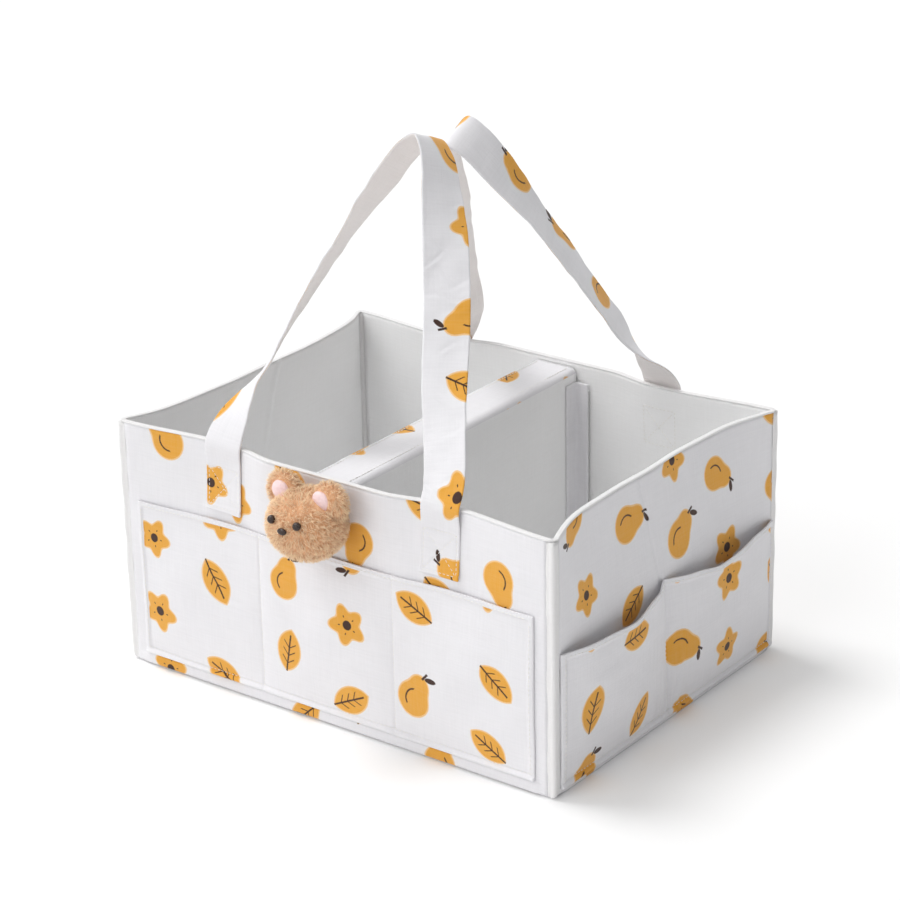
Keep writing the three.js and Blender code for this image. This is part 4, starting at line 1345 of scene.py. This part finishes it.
def folded_sheet(name, thickness, fold, swell, materials, slot):
    piece_name = f"divider_{name}_cloth"
    low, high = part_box(f"divider_{name}")
    path = folded_path(high.x, low.z, high.z, fold)
    normals, distance = path_normals(path), distances(path)
    s, y = np.meshgrid(distance, lines_between([low.y, high.y], DIVIDER_STEP))
    start, end = SWELL_END
    mask = fade(np.abs(y), high.y - start, high.y - end) * smooth_step(path[:, 1], *SWELL_START)
    waves = ripples(len(piece_name) + DIVIDER_SEED, DIVIDER_WAVE_LENGTH)
    lift = swell * (1 + waves(s, y)) / 2 * mask

    def grid(depth):
        places = path + normals * (lift - depth)[:, :, None]
        return stacked(places[..., 0], y, places[..., 1])

    on_leg = (path[1:, 1] + path[:-1, 1]) / 2 < high.z - fold * 0.7
    kinds = np.tile(on_leg * (len(materials) - 1), (len(y) - 1, 1)).ravel()
    piece = shell(piece_name, grid(0), grid(thickness), stacked(s, y) + DIVIDER_CLOTH, materials, kinds)
    finish_piece(piece, "divider", slot, f"divider_{name}")


def build_tab(node, side_x, side_y):
    low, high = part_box(node)
    near_x, far_x = sorted(side_x * corner.x for corner in (low, high))
    start_y, face_y = sorted(side_y * corner.y for corner in (low, high))
    path = [(near_x, y) for y in np.linspace(start_y, face_y - TAB_BEND, 4)[:-1]]
    path += arc(near_x + TAB_BEND, face_y - TAB_BEND, TAB_BEND, 9, QUARTER_TURN)[::-1]
    path += [(x, face_y) for x in np.linspace(near_x + TAB_BEND, far_x, 8)[1:]]
    path = np.array(path)
    inward, distance = path_normals(path), distances(path)
    hem_start, hem_end = TAB_HEM
    levels = lines_between([low.z, low.z + TAB, high.z - TAB, high.z], DIVIDER_STEP)
    along, z = np.meshgrid(distance, levels)
    end_hem = smooth_step(along, distance[-1] - hem_start, distance[-1] - hem_end)
    hem = np.maximum(end_hem, smooth_step(z, high.z - hem_start, high.z - hem_end))

    def grid(depth):
        places = path + inward * depth[:, :, None]
        return stacked(side_x * places[..., 0], side_y * places[..., 1], z)

    outer, inner = grid(TAB + TAB_HEM_THICK * hem), grid(0 * hem)
    piece = shell(f"{node}_cloth", outer, inner, stacked(along, z), [plain_canvas])
    finish_piece(piece, "divider", "printed_canvas", node)


def build_divider():
    folded_sheet("cover", COVER, COVER_FOLD, DIVIDER_SWELL, [printed_canvas, lining_cloth], "printed_canvas")
    folded_sheet("lining", LINING, LINING_FOLD, 0, [lining_cloth], "lining")
    for end, side_y in (("front", -1), ("back", 1)):
        for side, side_x in (("left", -1), ("right", 1)):
            build_tab(f"divider_tab_{end}_{side}", side_x, side_y)
    low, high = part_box("divider_cover")
    y = np.arange(low.y + TOP_ROW_END, high.y - TOP_ROW_END, TOP_ROW_STEP)[:, None]
    rows = []
    for side in (-1, 1):
        points = y * [0, 1, 0] + [side * (high.x - TOP_ROW_IN), 0, high.z + TOP_ROW_UP]
        rows.append((points, np.tile([0.0, 0, 1], (len(y), 1))))
    stitches("divider_stitches", rows, "divider", "printed_canvas")


# Plush head: soft balls under a pile of strands
HEAD_HALF_DEPTH = 26 * MM
HEAD_FUR_ROOM = 1.6 * MM
EAR_HALF = np.array([12.8, 6.3, 12.8]) * MM
EAR_PLACE = np.array([19.5, 2, 19.5]) * MM
INNER_EAR_HALF = np.array([7.3, 2.8, 7.2]) * MM
INNER_EAR_BARE = np.array([7.8, 6, 8.2]) * MM
INNER_EAR_IN, INNER_EAR_OUT, INNER_EAR_UP = 2 * MM, 5.2 * MM, 1.6 * MM
BALL_RINGS, BALL_SIDES = 40, 56
BALL_POLE = 0.02
BALL_CLOTH = 0.02
BALL_LUMPS = [((7, 3, 5), 0.4), ((-4, 8, 3), 1.9), ((3, -5, 9), 3.1)]
FUR_COUNT = 15000
FUR_SEED = 7
FUR_LENGTH = 4.6 * MM
FUR_WIDTH = 0.34 * MM
FUR_SUNK = 0.5 * MM
FUR_WALL_CLEAR = 2.5 * MM
TUFT = 14
TUFT_SHARE = 0.45
BLADE_POINTS = 5
BLADE_ALONG = np.array([0, 0, 0.6, 0.6, 1])


def soft_ball(name, centre, half, lumps, material, *nodes):
    """A lumpy ball, flat where it would reach into the wall or its binding."""
    polar = np.linspace(BALL_POLE, math.pi - BALL_POLE, BALL_RINGS)[::-1, None]
    angle = np.arange(BALL_SIDES) * FULL_TURN / BALL_SIDES
    directions = stacked(np.sin(polar) * np.cos(angle), np.sin(polar) * np.sin(angle), np.cos(polar))
    bump = sum(np.sin(directions @ np.array(turns) + phase) for turns, phase in BALL_LUMPS)
    points = centre + directions * half * (1 + lumps * bump / len(BALL_LUMPS))[..., None]
    proud = np.where(points[..., 2] > BINDING_BOTTOM - GAP, BINDING_PROUD, 0)
    points[..., 1] = np.minimum(points[..., 1], -HALF_DEPTH - GAP - proud)
    ball = loft(name, points, directions[..., [0, 2]] * BALL_CLOTH, [material])
    return finish_piece(ball, "root", "plush", *nodes)


def nearest(points, choices):
    """For each point, the one of the choices that lies nearest to it."""
    best = [np.argmin(np.sum((choices - point) ** 2, axis=1)) for point in points]
    return choices[best]


def fur_blades(draw, roots, normal):
    """Strands combed away from the face and down and drawn into tufts, (count, points of a blade, 3)."""
    size = len(roots)
    comb = stacked(normal[:, 0] * 0.6, 0.25, normal[:, 2] * 0.3 - 0.35)
    comb = comb + draw.normal(size=(size, 3)) * 0.28
    lie = unit(comb - normal * np.sum(comb * normal, axis=1, keepdims=True))
    tall = FUR_LENGTH * draw.uniform(0.7, 1.15, size)[:, None]
    side = unit(np.cross(lie, normal) + draw.normal(size=(size, 3)) * 0.3) * FUR_WIDTH / 2
    middle = roots + (normal * 0.52 + lie * 0.28) * tall
    tip = roots + (normal * 0.72 + lie * 0.75) * tall
    drawn_in = (nearest(tip, tip[::TUFT]) - tip) * TUFT_SHARE
    middle, tip = middle + drawn_in / 3, tip + drawn_in
    sunk = roots - normal * FUR_SUNK
    blades = np.stack([sunk - side, sunk + side, middle - side * 0.8, middle + side * 0.8, tip], axis=1)
    blades[..., 1] = np.minimum(blades[..., 1], -HALF_DEPTH - BINDING_PROUD - 2 * GAP)
    return blades


def fur(name, spots, bare):
    """Short tapered strands on ellipsoids, but not inside bare ones. Both are (centre, half sizes)."""
    draw = np.random.default_rng(FUR_SEED)
    points, uvs = [], []
    for spot in spots:
        centre, half = spot
        share = half[0] * half[2] / sum(other[0] * other[2] for _, other in spots)
        directions = unit(draw.normal(size=(int(FUR_COUNT * share), 3)))
        roots = centre + directions * half
        keep = roots[:, 1] < -HALF_DEPTH - FUR_WALL_CLEAR
        for other in spots + bare:
            if other is not spot:
                keep &= np.sum(((roots - other[0]) / other[1]) ** 2, axis=1) > 1
        blades = fur_blades(draw, roots[keep], unit(directions / half)[keep])
        tone = draw.uniform(0, 1, len(blades))[:, None]
        points.append(blades.reshape(-1, 3))
        uvs.append(stacked(tone, BLADE_ALONG).reshape(-1, 2))
    points = np.concatenate(points)
    faces = []
    for at in range(0, len(points), BLADE_POINTS):
        faces += [(at, at + 1, at + 3, at + 2), (at + 2, at + 3, at + 4)]
    pile = make_piece(name, points, faces, np.concatenate(uvs), [plush_strand], closed=False)
    finish_piece(pile, "root", "plush")


def build_head():
    low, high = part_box("plush_head")
    centre = np.array([0, low.y + HEAD_HALF_DEPTH, (low.z + high.z) / 2])
    half = np.array([(high.x - low.x) / 2, HEAD_HALF_DEPTH, (high.z - low.z) / 2]) - HEAD_FUR_ROOM
    soft_ball("plush_head_body", centre, half, 0.012, plush_fur, "plush_head")
    spots, bare = [(centre, half)], []
    for side, sign in (("left", -1), ("right", 1)):
        node = f"plush_ear_{side}"
        ear = centre + EAR_PLACE * [sign, 1, 1]
        soft_ball(f"{node}_body", ear, EAR_HALF, 0.02, plush_fur, node)
        inner = ear + [-INNER_EAR_IN * (1 + sign), -INNER_EAR_OUT, INNER_EAR_UP]
        soft_ball(f"plush_inner_ear_{side}", inner, INNER_EAR_HALF, 0.02, plush_pink)
        spots.append((ear, EAR_HALF))
        bare.append((inner, INNER_EAR_BARE))
    fur("plush_pile", spots, bare)


# CAD nodes that keep their shape, by a word in their names
KEPT_LOOKS = {"hook_strip": hook_tape, "loop_panel": loop_tape, "board": board, "eye": bead, "nose": bead}


def dress_kept_nodes():
    for name in frame["nodes"]:
        for word, material in KEPT_LOOKS.items():
            if word in name:
                mesh = bpy.data.objects[name].data
                mesh.materials.clear()
                mesh.materials.append(material)


# Floor, light and backdrop
FLOOR_HALF = 6
FLOOR_DROP = 0.2 * MM
FLOOR_COLOR = (0.98, 0.98, 0.98, 1)
FLOOR_GLOW_SHARE = 0.1
LAMPS = {
    "key": {"toward": (-0.42, -0.06, 0.9), "energy": 1.42, "angle": math.radians(22)},
    "fill": {"toward": (-0.22, -0.8, 0.6), "energy": 0.7, "angle": math.radians(44)},
}
WORLD_STRENGTH = 0.545
WORLD_SIDE_SHARE = 0.5
PURE_WHITE = (1, 1, 1, 1)


def ray_is(tree, kind):
    return add_node(tree, "ShaderNodeLightPath", f"Is {kind} Ray", {})


def show_mixed(tree, output, share, first, second):
    """Gives an output node its first shader, and by that share the second one."""
    mixed = add_node(tree, "ShaderNodeMixShader", 0, {0: share, 1: first, 2: second})
    feed(tree, tree.nodes[output].inputs["Surface"], mixed)


def build_floor_stage():
    material = bpy.data.materials.new("pale_floor")
    material.use_nodes = True
    tree = material.node_tree
    tree.nodes.remove(tree.nodes["Principled BSDF"])
    plain = add_node(tree, "ShaderNodeBsdfDiffuse", 0, {"Color": FLOOR_COLOR})
    glow = add_node(tree, "ShaderNodeEmission", 0, {})
    show_mixed(tree, "Material Output", ray_is(tree, "Camera") * FLOOR_GLOW_SHARE, plain, glow)
    corners = [(-1, -1), (1, -1), (1, 1), (-1, 1)]
    points = [(x * FLOOR_HALF, y * FLOOR_HALF, 0) for x, y in corners]
    floor = make_piece("floor", points, [(0, 1, 2, 3)], corners, [material])
    floor.location.z = -FLOOR_DROP


def build_lights():
    for name, light in LAMPS.items():
        lamp = bpy.data.objects.new(name, bpy.data.lights.new(name, "SUN"))
        lamp.data.energy, lamp.data.angle = light["energy"], light["angle"]
        lamp.rotation_euler = Vector(light["toward"]).to_track_quat("Z", "Y").to_euler()
        bpy.context.scene.collection.objects.link(lamp)
    world = bpy.data.worlds.new("studio")
    bpy.context.scene.world = world
    world.use_nodes = True
    tree = world.node_tree
    tree.nodes.remove(tree.nodes["Background"])
    across, _, _ = parts_of(add_node(tree, "ShaderNodeTexCoord", "Generated", {}))
    strength = across * (-WORLD_SIDE_SHARE * WORLD_STRENGTH) + WORLD_STRENGTH
    light = add_node(tree, "ShaderNodeBackground", 0, {"Color": PURE_WHITE, "Strength": strength})
    backdrop = add_node(tree, "ShaderNodeBackground", 0, {"Color": PURE_WHITE, "Strength": 1})
    show_mixed(tree, "World Output", most(ray_is(tree, "Camera"), ray_is(tree, "Glossy")), light, backdrop)


def main():
    bpy.context.scene.view_settings.view_transform = "Standard"
    make_camera()
    build_floor_stage()
    build_lights()
    build_floor()
    for wall in WALLS:
        build_wall(wall)
    for side_x, name_x in ((-1, "left"), (1, "right")):
        for side_y, name_y in ((-1, "front"), (1, "back")):
            build_corner(f"corner_binding_{name_y}_{name_x}", side_x, side_y)
    for wall in WALLS:
        Pocket(wall).build()
    for name, shape in STRAPS.items():
        build_strap(name, shape)
    build_divider()
    build_head()
    dress_kept_nodes()


main()
